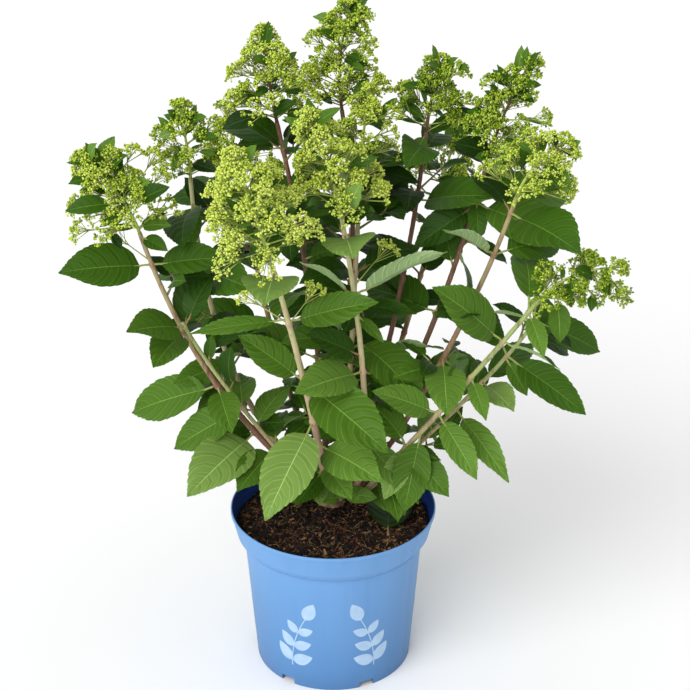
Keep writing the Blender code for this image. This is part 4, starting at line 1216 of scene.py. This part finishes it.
def blade_shape(leaf, veins, rng, columns):
    """A closed leaf blade; faces are marked 0 on the blade, 1 on the midrib, 2 on a side
    vein, 3 underneath and 4 on a vein there."""
    rows = blade_rows(veins)
    waves = [rng.uniform(0, 1) for _ in range(2)]
    twist = rng.uniform(-TWIST, TWIST)
    slim = rng.uniform(0.86, 1.02)
    verts = [leaf.base, blade_point(leaf, 1.0)]
    over, below = [], []
    for row, tooth in rows:
        over.append([])
        below.append([])
        bulge = abs(math.sin(math.pi * (veins * row - 0.5)))
        for column in columns:
            share = row + VEIN_SWEEP * abs(column) ** 1.5 * math.sin(math.pi * row)
            side = column * blade_edge(leaf, share) * slim
            if abs(column) == 1:
                side += column * tooth * TOOTH * leaf.length * math.sin(math.pi * row) ** 0.5
            quilt = QUILT * leaf.length * bulge * (1 - column ** 2) * abs(column) ** 0.4
            wave = math.sin(math.tau * (1.4 * row + waves[column > 0])) * WAVE * leaf.length
            lift = quilt + wave * abs(column) ** 1.5 * math.sin(math.pi * row)
            lift += side * twist * share
            over[-1].append(len(verts))
            verts.append(blade_point(leaf, share, side, lift))
            if abs(column) == 1:
                below[-1].append(over[-1][-1])
            else:
                rib = RIB_DEPTH if abs(column) < 0.1 else SHEET_DEPTH
                below[-1].append(len(verts))
                verts.append(blade_point(leaf, share, side, lift - rib * leaf.length
                                         * (1 - 0.6 * row)))
    faces, marks = [], []
    last = len(rows) - 1
    middle = len(columns) // 2 - 1
    for column in range(len(columns) - 1):
        ends = (1, 4) if column == middle else (0, 3)
        faces += [(0, over[0][column + 1], over[0][column]),
                  (0, below[0][column], below[0][column + 1]),
                  (over[last][column], over[last][column + 1], 1),
                  (below[last][column + 1], below[last][column], 1)]
        marks += [*ends, *ends]
        for row in range(last):
            vein = rows[row + 1][0] - rows[row][0] < 3 * VEIN_HALF
            kinds = ends if column == middle or not vein else (2, 4)
            for sheet, mark in zip((over, below), kinds):
                near, far = sheet[row][column:column + 2], sheet[row + 1][column:column + 2]
                halves = [(near[0], near[1], far[1]), (near[0], far[1], far[0])]
                faces += [half if sheet is over else half[::-1] for half in halves]
                marks += [mark] * 2
    return verts, faces, marks


def stalk_shape(leaf, radius):
    """The leaf's stalk: from inside the stem, bowed a little, on under the blade's foot."""
    size = leaf.length / USUAL_BLADE
    sag = leaf.face * 0.8 * MM * size
    points = [leaf.root, leaf.root.lerp(leaf.base, 0.35) + sag,
              leaf.root.lerp(leaf.base, 0.7) + sag, leaf.base,
              blade_point(leaf, 0.06, 0, -0.6 * MM * size),
              blade_point(leaf, 0.16, 0, -0.9 * MM * size)]
    return tube(points, [radius * part for part in (1.5, 1.05, 0.95, 1.0, 0.8, 0.4)], 6)


LEAF_GREENS = ((25, 50, 6), (38, 69, 8), (53, 87, 14), (69, 103, 25), (88, 123, 42),
               (112, 142, 66))
LIGHTEST = len(LEAF_GREENS) - 1
UNDER = 3 * len(LEAF_GREENS)
leaf_finishes = []
for number, green in enumerate(LEAF_GREENS):
    for part, brighter, paler, roughness in (("top", 1, 0, 0.5), ("rib", 1.2, 30, 0.55),
                                             ("vein", 1.08, 9, 0.55)):
        shade = tone(*[min(255, value * brighter + paler) for value in green])
        leaf_finishes.append(plain_finish(f"leaf_{part}_{number}", shade, roughness, 0.14))
for part, shade, roughness, shine in (("under", (142, 168, 112), 0.62, 0.2),
                                      ("under_rib", (172, 194, 142), 0.62, 0.2),
                                      ("stalk", (148, 158, 86), 0.55, 0.3),
                                      ("stalk_red", (136, 112, 74), 0.55, 0.3)):
    leaf_finishes.append(plain_finish("leaf_" + part, tone(*shade), roughness, shine))


def hang(leaf):
    """The leaf as it hangs: it arches more than its solid, to the same point, and turns."""
    lift = leaf.droop * (HANG - 1) / 2
    heading = leaf.heading * math.cos(lift) + leaf.face * math.sin(lift)
    face = squared(leaf.face - Vector((0, TURN_FORWARD, 0)), heading)
    return leaf._replace(heading=heading, face=face, droop=leaf.droop * HANG)


def leaf_to(root, tip, light=MOVED_LIGHT):
    """A leaf from this place on a cane whose blade ends at the tip and faces the light."""
    base = root.lerp(tip, MOVED_STALK)
    way = (tip - base).normalized()
    up = squared(light, way)
    half = math.radians(MOVED_DROOP) / 2
    length = (tip - base).length * half / math.sin(half)
    return Leaf(root, base, way * math.cos(half) + up * math.sin(half),
                up * math.cos(half) - way * math.sin(half), 2 * half, length,
                length * LEAF_WIDTH_SHARE)


def add_leaf(gathered, leaf, veins, level, rng, stalk_radius):
    """Join one finished leaf in the green of its level."""
    columns = BLADE_COLUMNS if veins > 5 else SMALL_COLUMNS
    verts, faces, marks = blade_shape(leaf, veins, rng, columns)
    join_shape(gathered, (verts, faces))
    colours = (3 * level, 3 * level + 1, 3 * level + 2, UNDER, UNDER + 1)
    gathered[2][-len(faces):] = [colours[mark] for mark in marks]
    join_shape(gathered, stalk_shape(leaf, stalk_radius), UNDER + 2 + (level < 2))


def painted_light_level(leaf, rng, painted_light_steps=0):
    """Lower leaves and those in front are painted in paler greens and inner ones in the darkest:
    painted light and shade, with a random tone on top.
    """
    middle = blade_point(leaf, 0.5)
    low = max(0.0, (PAINTED_LIGHT_BELOW - middle.z) / 0.25)
    front = -middle.y / 0.15
    level = 2.0 + 1.7 * low + 0.8 * front + rng.gauss(0, 0.7)
    return min(LIGHTEST, max(0, round(min(LIGHTEST, max(0, level))) + painted_light_steps))


def finish_leaves(name, gathered, node):
    piece = add_piece(name, gathered, leaf_finishes)
    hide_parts(node)
    select_only(piece)
    bpy.ops.object.shade_smooth_by_angle(angle=math.radians(SHARP_FOLD))
    bpy.ops.object.material_slot_remove_unused()


def seen_leaf(root, curled, across_it, down, back, wide=1, painted_light_steps=0):
    """A leaf as the photograph shows it, and how many steps of green it is painted paler, as
    painted light.
    """
    leaf = leaf_to(root, seen_place(across_it, down, back), Vector(curled or MOVED_LIGHT))
    slim = CURLED_WIDTH if curled else 1
    return leaf._replace(width=wide * slim * leaf.width), painted_light_steps


look_rng = random.Random(PLANT_SEED + 2)
for cane in CANES + SHOOTS:
    gathered = ([], [], [])
    moved = MOVED.get(cane.name, {})
    for number, leaf in enumerate(leaves[cane.name]):
        places = leaf_places(leaf)
        hidden = sum(hides_sky([place]) for place in places) / len(places)
        if hidden > MOST_SKY_HIDDEN and number not in moved:
            continue
        hung, painted_light_steps = hang(leaf), 0
        if number in moved:
            curled = CURLED.get((cane.name, number))
            hung, painted_light_steps = seen_leaf(leaf.root, curled, *moved[number])
        veins = SIDE_VEINS if leaf.length > LONG_BLADE else SIDE_VEINS - 1
        add_leaf(gathered, hung, veins, painted_light_level(hung, look_rng, painted_light_steps), look_rng,
                 PETIOLE_RADIUS)
    for share, *spot in SHOWN.get(cane.name, ()):
        leaf, painted_light_steps = seen_leaf(cane_point(cane, share), None, *spot)
        take_place("shown", leaf_shape(leaf))
        add_leaf(gathered, leaf, SIDE_VEINS, painted_light_level(leaf, look_rng, painted_light_steps), look_rng,
                 PETIOLE_RADIUS)
    finish_leaves("leaves_" + cane.name, gathered, "foliage_" + cane.name)

# Short side twigs in the leaf axils carry two pairs of small leaves each, by the same rule.
# They are finer than the solid masses show, and fill the crown behind its front leaves.
AXIL_TRIES = 11
AXIL_VEINS = 5
AXIL_FRONT = -25
AXIL_RADIUS = 1.1 * MM
AXIL_CLEAR = 1.5 * MM
REACH_BACK = 258 * MM
REACH_SIDE = 268 * MM


def axil_twig(cane, number, rng):
    """A short side twig, laid out as a little cane with a share of its own leaves."""
    share = rng.uniform(0.1, 0.97)
    foot = cane_point(cane, share)
    stem = cane_direction(cane, share)
    outwards, _ = across(stem, rng.uniform(0, 360))
    tip = foot + (stem * 0.6 + outwards * 0.8).normalized() * rng.uniform(16, 36) * MM
    size = rng.uniform(44, 80) * (1.0 - 0.2 * share)
    turn = rng.uniform(0, 360)
    pairs = ((0.6, turn, size, 0, size * 0.9, 0), (0.97, turn + 90, size * 0.85, 8, size * 0.8, 8))
    return Cane(f"{cane.name}_{number}", tuple(foot / MM), tuple(tip / MM), (0, 0), 2.2,
                pairs, None, ())


twig_rng = random.Random(PLANT_SEED + 3)
twig_bark = plain_finish("twig_green", tone(120, 128, 70), 0.6, 0.3)
bare_twigs = ([], [], [])
for cane in CANES:
    gathered = ([], [], [])
    for number in range(AXIL_TRIES):
        twig = axil_twig(cane, number, twig_rng)
        if twig.tip[1] < AXIL_FRONT:
            continue
        start = (cane_radius(cane, 0) + AXIL_CLEAR) / cane_length(twig)
        wood = cane_tube(twig, start, 1.0, GAP)
        if hides_sky(wood[0]) or not is_clear(wood, ("stem_" + cane.name,)):
            continue
        take_place("stem_" + twig.name, wood)
        before = len(gathered[0])
        for place in each_leaf(twig):
            leaf = grow_leaf(twig, *place, twig_rng.uniform(-SWAY, SWAY), True)
            if not leaf:
                continue
            point = blade_point(leaf, 1.0)
            if point.y < REACH_BACK and abs(point.x) < REACH_SIDE:
                # Painted shade: leaves on the axil twigs are one step of green darker, as leaves
                # inside the crown.
                add_leaf(gathered, leaf, AXIL_VEINS, painted_light_level(leaf, look_rng, -1), look_rng,
                         0.8 * PETIOLE_RADIUS)
        if len(gathered[0]) > before:
            join_shape(bare_twigs, tube([cane_point(twig, step / 4) for step in range(5)],
                                        [AXIL_RADIUS * (1.3 - 0.12 * step)
                                         for step in range(5)], 6))
    if gathered[0]:
        finish_leaves("axil_leaves_" + cane.name, gathered, "foliage_" + cane.name)
add_piece("axil_twigs", bare_twigs, [twig_bark])

# The flower heads are in bud: lumpy cones of small round lime buds, close together on pale
# forked stalks.  The solid branches are each opened into umbels, and more branches fill
# the room between them, with a few small leaves among the buds.
BRACT_VEINS = 4
BRACT_LEVELS = (2, 2, 3, 3, 4)
UMBELS = 9
UMBEL_BUDS = 10
UMBEL_SPREAD = 0.84
BUD_RADIUS = 1.45 * MM
BRANCH_FOOT_RADIUS = 0.95 * MM
BRANCH_NECK_RADIUS = 0.7 * MM
BRANCH_TIP_RADIUS = 0.45 * MM
FORK_RADIUS = 0.5 * MM
HUB_RADIUS = 0.4 * MM
BUD_STALK_RADIUS = 0.34 * MM
FILL_AREA = 650
SPIRAL = 137.5
LUMP_DROP = 18 * MM
# Lumps that stand out from the even cone: across, back and height of each, in millimetres.
LUMPS = {
    "far_left": ((-217, -40, 610), (-197, -30, 610), (-177, -20, 601), (-255, -40, 557),
                 (-254, -45, 532), (-172, -25, 584)),
    "left_back": ((-179, 50, 605), (-123, 55, 613), (-150, 60, 618)),
    "centre_left": ((-101, 60, 667), (-102, 55, 641), (-26, 60, 667)),
    "tall_back": ((-19, 100, 693), (31, 105, 716), (36, 100, 688), (-14, 95, 660)),
    "centre_right": ((134, 88, 661), (143, 80, 631), (83, 85, 639), (125, 75, 614)),
    "right_back": ((161, 32, 664), (215, 25, 628), (160, 20, 630), (204, 35, 683)),
    "right": ((237, -35, 612), (237, -30, 576)),
    "right_low": ((263, -85, 478), (279, -90, 489), (246, -80, 474), (226, -80, 478),
                  (290, -75, 476)),
    "front_middle": ((40, -40, 597), (46, -35, 578)),
    "middle": ((61, 25, 635),),
}
# The leaves that the photograph shows among the buds, in its pixels: across and down at the
# foot, then at the point, and the level of green, darker for leaves in shade: partly the
# leaf's own green, partly painted shade.
HEAD_LEAVES = {
    "front_left": ((262, 211, 279, 235, 2), (250, 183, 272, 175, 4), (243, 164, 257, 145, 4),
                   (243, 191, 221, 197, 3)),
    "front_middle": ((350, 218, 361, 183, 5), (371, 206, 352, 225, 1)),
    "tall_back": ((336, 60, 321, 73, 3), (342, 58, 368, 66, 2), (336, 103, 317, 96, 1),
                  (338, 38, 320, 30, 2), (368, 112, 384, 127, 3)),
    "centre_left": ((263, 128, 222, 129, 0), (272, 114, 297, 102, 1), (269, 66, 253, 57, 3)),
    "left_back": ((188, 150, 172, 172, 3), (196, 142, 217, 137, 2), (180, 131, 158, 138, 5),
                  (174, 123, 167, 110, 4), (182, 125, 181, 109, 5), (188, 123, 207, 117, 3),
                  (193, 163, 218, 172, 0)),
    "far_left": ((113, 204, 65, 211, 2), (121, 184, 151, 183, 4), (102, 173, 68, 184, 2),
                 (110, 170, 128, 155, 2), (134, 201, 170, 187, 1), (90, 153, 97, 143, 4),
                 (110, 240, 122, 249, 0)),
    "centre_right": ((438, 92, 411, 85, 2), (443, 73, 428, 62, 3), (458, 76, 469, 65, 3),
                     (440, 111, 491, 135, 1), (425, 142, 456, 121, 1), (426, 146, 409, 170, 3)),
    "right_back": ((507, 82, 487, 76, 2), (522, 83, 508, 79, 4), (515, 94, 535, 103, 2),
                   (503, 115, 478, 120, 3), (500, 154, 453, 143, 0), (494, 170, 474, 158, 2),
                   (482, 187, 507, 181, 5), (534, 152, 514, 136, 4)),
    "right": ((545, 166, 569, 193, 4), (556, 148, 553, 133, 0), (571, 152, 581, 141, 4)),
    "right_low": ((600, 283, 574, 269, 2), (572, 290, 572, 274, 3), (555, 310, 560, 343, 3),
                  (586, 300, 591, 312, 2)),
}
HEAD_LEAF_FORWARD = 14
DEPTH_WEIGHT = 0.12


def fill_head(cane, rng):
    """More branches on a spiral up the head, where they touch no other piece."""
    count = round(cane.head[0] * cane.head[1] / FILL_AREA)
    grown = []
    for index in range(count):
        share = 0.03 + 0.9 * (index + rng.random()) / count
        root, axis = head_axis(cane, share)
        way = branch_way(axis, SPIRAL * index, share)
        reach = cone_reach(cane, share, 0.5)
        radius = LUMP_RADIUS * rng.uniform(0.6, 0.85) * (1.0 - 0.3 * share)
        for part in (rng.uniform(0.45, 1.05), 0.5):
            finger = Finger(root, root + way * max(reach * part, 1.1 * radius), radius)
            if (is_clear(finger_shape(finger, GAP), head_names(cane))
                    and not hides_sky([finger.tip], 0.5 * radius)):
                grown.append(finger)
                break
    feet = [head_axis(cane, step / 20)[0] for step in range(18)]
    for place in LUMPS.get(cane.name, ()):
        tip = Vector(place) * MM
        foot = min(feet, key=lambda foot: (foot - tip + Vector((0, 0, LUMP_DROP))).length)
        grown.append(Finger(foot, tip, 0.72 * LUMP_RADIUS))
    return grown


def small_leaves(cane, fingers, rng):
    """Small leaves at the forks of a flower head's branches."""
    grown = []
    for finger in fingers:
        if rng.random() > 0.8 or finger.tip.y < cane_point(cane, 1.0).y - 10 * MM:
            continue
        way = (finger.tip - finger.root).normalized()
        root = finger.root.lerp(finger.tip, rng.uniform(0.15, 0.6))
        outwards, _ = across(way, rng.uniform(0, 360))
        heading = (way + outwards * 0.7).normalized()
        length = rng.uniform(18, 36) * MM
        leaf = bract(root, heading, LIGHT + outwards * 0.4, 3, 30, length,
                     length * rng.uniform(0.36, 0.5))
        if is_clear(bract_shape(leaf), head_names(cane)) and not hides_sky(leaf_places(leaf)):
            grown.append(leaf)
    return grown


def seen_head_leaves(cane, fingers):
    """The head's leaves that the photograph shows, each on the branch nearest to its foot."""
    grown = []
    for foot_x, foot_y, tip_x, tip_y, level in HEAD_LEAVES.get(cane.name, ()):
        places = [finger.root.lerp(finger.tip, step / 6) for finger in fingers
                  for step in range(6)]
        root = min(places, key=lambda place: math.dist(picture_spot(place)[0], (foot_x, foot_y))
                   + DEPTH_WEIGHT * place.y / MM)
        tip = seen_place(tip_x, tip_y, root.y / MM - HEAD_LEAF_FORWARD)
        grown.append((leaf_to(root, tip), level))
    return grown


def open_cluster(finger, rng, twigs, buds):
    """Fork a branch into twigs with an umbel of buds on each: lines with two radii, and
    buds with a place and a radius."""
    way = (finger.tip - finger.root).normalized()
    axis = (way + Vector((0, 0, 0.5))).normalized()
    wide, deep = across(axis)
    neck = finger.tip - way * finger.radius * 1.3
    if (neck - finger.root).dot(way) < 0.2 * finger.radius:
        neck = finger.root.lerp(finger.tip, 0.3)
    twigs.append((finger.root, neck, BRANCH_FOOT_RADIUS, BRANCH_NECK_RADIUS))
    twigs.append((neck, finger.tip, BRANCH_NECK_RADIUS, BRANCH_TIP_RADIUS))
    for index in range(UMBELS):
        turn = index * 2.4 + rng.uniform(-0.3, 0.3)
        spread = math.sqrt((index + 0.4) / UMBELS) * UMBEL_SPREAD * finger.radius
        height = finger.radius * (0.42 - 0.5 * (spread / finger.radius) ** 2
                                  + rng.uniform(-0.15, 0.1))
        hub = (finger.tip + (wide * math.cos(turn) + deep * math.sin(turn)) * spread
               + axis * height)
        fork = neck.lerp(finger.tip, rng.uniform(0.0, 0.6))
        twigs.append((fork, hub, FORK_RADIUS, HUB_RADIUS))
        out = (hub - neck).normalized()
        for _ in range(UMBEL_BUDS):
            aim = Vector((rng.gauss(0, 1), rng.gauss(0, 1), rng.gauss(0, 1))).normalized()
            aim = (aim + out * 0.9).normalized()
            spot = hub + aim * rng.uniform(1.8, 5.4) * MM
            twigs.append((hub, spot, BUD_STALK_RADIUS, 0.0))
            buds.append((spot, BUD_RADIUS * rng.uniform(0.75, 1.2)))


def twig_mesh(twigs):
    """Every twig as a three-sided stalk; one that ends in a bud runs out to a point."""
    verts, faces = [], []
    for start, end, thick, thin in twigs:
        first, second = across((end - start).normalized())
        base = len(verts)
        verts += ring(start, first, second, thick, 3)
        verts += ring(end, first, second, thin, 3) if thin else [end]
        faces.append((base + 2, base + 1, base))
        if thin:
            faces.append((base + 3, base + 4, base + 5))
        for side in range(3):
            after = (side + 1) % 3
            faces.append((base + side, base + after, base + 3 + after, base + 3 + side)
                         if thin else (base + side, base + after, base + 3))
    return verts, faces


BUD_VERTS = np.array([(1, 0, 0), (-0.5, 0.87, 0), (-0.5, -0.87, 0), (0, 0, 1.2), (0, 0, -1.2)])
BUD_SIDES = np.array([(0, 1, 3), (1, 2, 3), (2, 0, 3), (1, 0, 4), (2, 1, 4), (0, 2, 4)])


def bud_mesh(buds, rng):
    """Every bud as a small six-sided bead, each with its own turn."""
    turns = np.array([Matrix.Rotation(rng.uniform(0, 6), 3, (rng.uniform(-1, 1), 1, 0.3))
                      for _ in range(40)])
    places = np.array([spot for spot, _ in buds])
    sizes = np.array([radius for _, radius in buds])
    beads = np.einsum("bij,vj->bvi", turns[np.arange(len(buds)) % len(turns)], BUD_VERTS)
    verts = places[:, None, :] + beads * sizes[:, None, None]
    starts = np.arange(len(buds)) * len(BUD_VERTS)
    faces = BUD_SIDES[None, :, :] + starts[:, None, None]
    return verts.reshape(-1, 3).tolist(), faces.reshape(-1, 3).tolist()


# Bud colours from lit pale lime to shaded olive: partly the buds' own variation, partly lit and
# shaded copies of one colour, as painted light and shade.
BUD_TINTS = [plain_finish("bud_" + name, tone(*tint), 0.6, 0.15)
             for name, tint in (("bright", (212, 226, 108)), ("lime", (184, 205, 72)),
                                ("green", (148, 175, 44)), ("olive", (104, 134, 26)))]
# Painted shade: steps darker for each head's buds, least for the heads in front and most for those
# behind.
HEAD_PAINTED_SHADE = {"front_left": 0, "front_middle": 0.4, "far_left": 1.2, "right": 0.8,
             "right_low": 2.0, "middle": 1.2, "left_back": 1.6, "centre_left": 1.0,
             "tall_back": 1.3, "centre_right": 2.0, "right_back": 1.7}
STALK_TINTS = [plain_finish("stalk_pale", tone(176, 192, 100), 0.6, 0.2),
               plain_finish("stalk_red", tone(112, 76, 54), 0.6, 0.3)]
RED_STALKED = ("centre_left", "centre_right", "right_back", "tall_back")

head_rng = random.Random(PLANT_SEED + 1)
for cane in CANES:
    fingers, bracts = heads.get(cane.name, ([], []))
    clusters = fingers + sprays[cane.name]
    if not clusters:
        continue
    if cane.head:
        clusters += fill_head(cane, head_rng)
    twigs, buds, marks = [], [], []
    # Painted shade: this head's buds are dealt darker tints the further back it stands, with a
    # random step for each cluster.
    tint = HEAD_PAINTED_SHADE.get(cane.name, 1.6)
    for cluster in clusters:
        before = len(buds)
        open_cluster(cluster, head_rng, twigs, buds)
        painted_shade_here = tint + head_rng.uniform(-0.4, 0.4)
        for _ in range(len(buds) - before):
            level = round(min(3, max(0, painted_shade_here + head_rng.gauss(0, 0.7))))
            marks += [level] * len(BUD_SIDES)
    bud_piece = add_piece("buds_" + cane.name, (*bud_mesh(buds, head_rng), marks), BUD_TINTS)
    stalks = ([], [], [])
    if cane.head:
        join_shape(stalks, rachis(cane, 0, 10, 8), int(cane.name in RED_STALKED))
    join_shape(stalks, twig_mesh(twigs))
    stalk_piece = add_piece("flower_stalks_" + cane.name, stalks, STALK_TINTS)
    if cane.head:
        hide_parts("panicle_" + cane.name)
        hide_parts("panicle_" + cane.name)
        gathered = ([], [], [])
        for leaf in bracts + small_leaves(cane, clusters, head_rng):
            add_leaf(gathered, leaf, BRACT_VEINS, head_rng.choice(BRACT_LEVELS), head_rng,
                     BRACT_STALK_RADIUS)
        for leaf, level in seen_head_leaves(cane, clusters):
            add_leaf(gathered, leaf, AXIL_VEINS, level, head_rng, BRACT_STALK_RADIUS)
        finish_leaves("head_leaves_" + cane.name, gathered, "panicle_" + cane.name)

# One dark leaf has dropped and lies on the compost at the right.
fallen = Leaf(Vector((61, -42, 174)) * MM, Vector((61, -30, 176)) * MM,
              Vector((0.05, 1, 0.05)).normalized(), Vector((0.1, -0.05, 1)).normalized(),
              math.radians(14), 86 * MM, 54 * MM)
gathered = ([], [], [])
add_leaf(gathered, fallen, SIDE_VEINS, 0, look_rng, PETIOLE_RADIUS)
add_piece("fallen_leaf", gathered, leaf_finishes)

# The stage: a plain white floor, an even white surround, a soft key light from the upper
# left in front, and the camera at its own place and angle.
FLOOR_SIZE = 14
SURROUND_LIGHT = 0.72
LAMP_LIGHT = 2.5
LAMP_SPREAD = 55
LAMP_WAY = Vector((0.85, 1.25, -0.95))

bpy.ops.mesh.primitive_plane_add(size=FLOOR_SIZE, location=(0, 0, 0))
floor = bpy.context.object
floor.name = "floor"
floor.data.materials.append(plain_finish("floor_white", (0.92, 0.92, 0.92, 1), 0.9, 0.1))

world = bpy.data.worlds.new("surround")
bpy.context.scene.world = world
world.use_nodes = True
set_inputs(world, world.node_tree.nodes["Background"], Color=(1, 1, 1, 1),
           Strength=SURROUND_LIGHT)

lamp = bpy.data.lights.new("key_lamp", "SUN")
lamp.energy = LAMP_LIGHT
lamp.angle = math.radians(LAMP_SPREAD)
key = bpy.data.objects.new("key_lamp", lamp)
key.rotation_euler = LAMP_WAY.to_track_quat("-Z", "Y").to_euler()
bpy.context.scene.collection.objects.link(key)

camera = bpy.data.cameras.new("camera")
camera.sensor_width = SENSOR
camera.lens = LENS
viewer = bpy.data.objects.new("camera", camera)
viewer.location = EYE
viewer.rotation_euler = (EYE_TILT, 0, 0)
bpy.context.scene.collection.objects.link(viewer)
bpy.context.scene.camera = viewer
bpy.context.scene.view_settings.view_transform = "Standard"
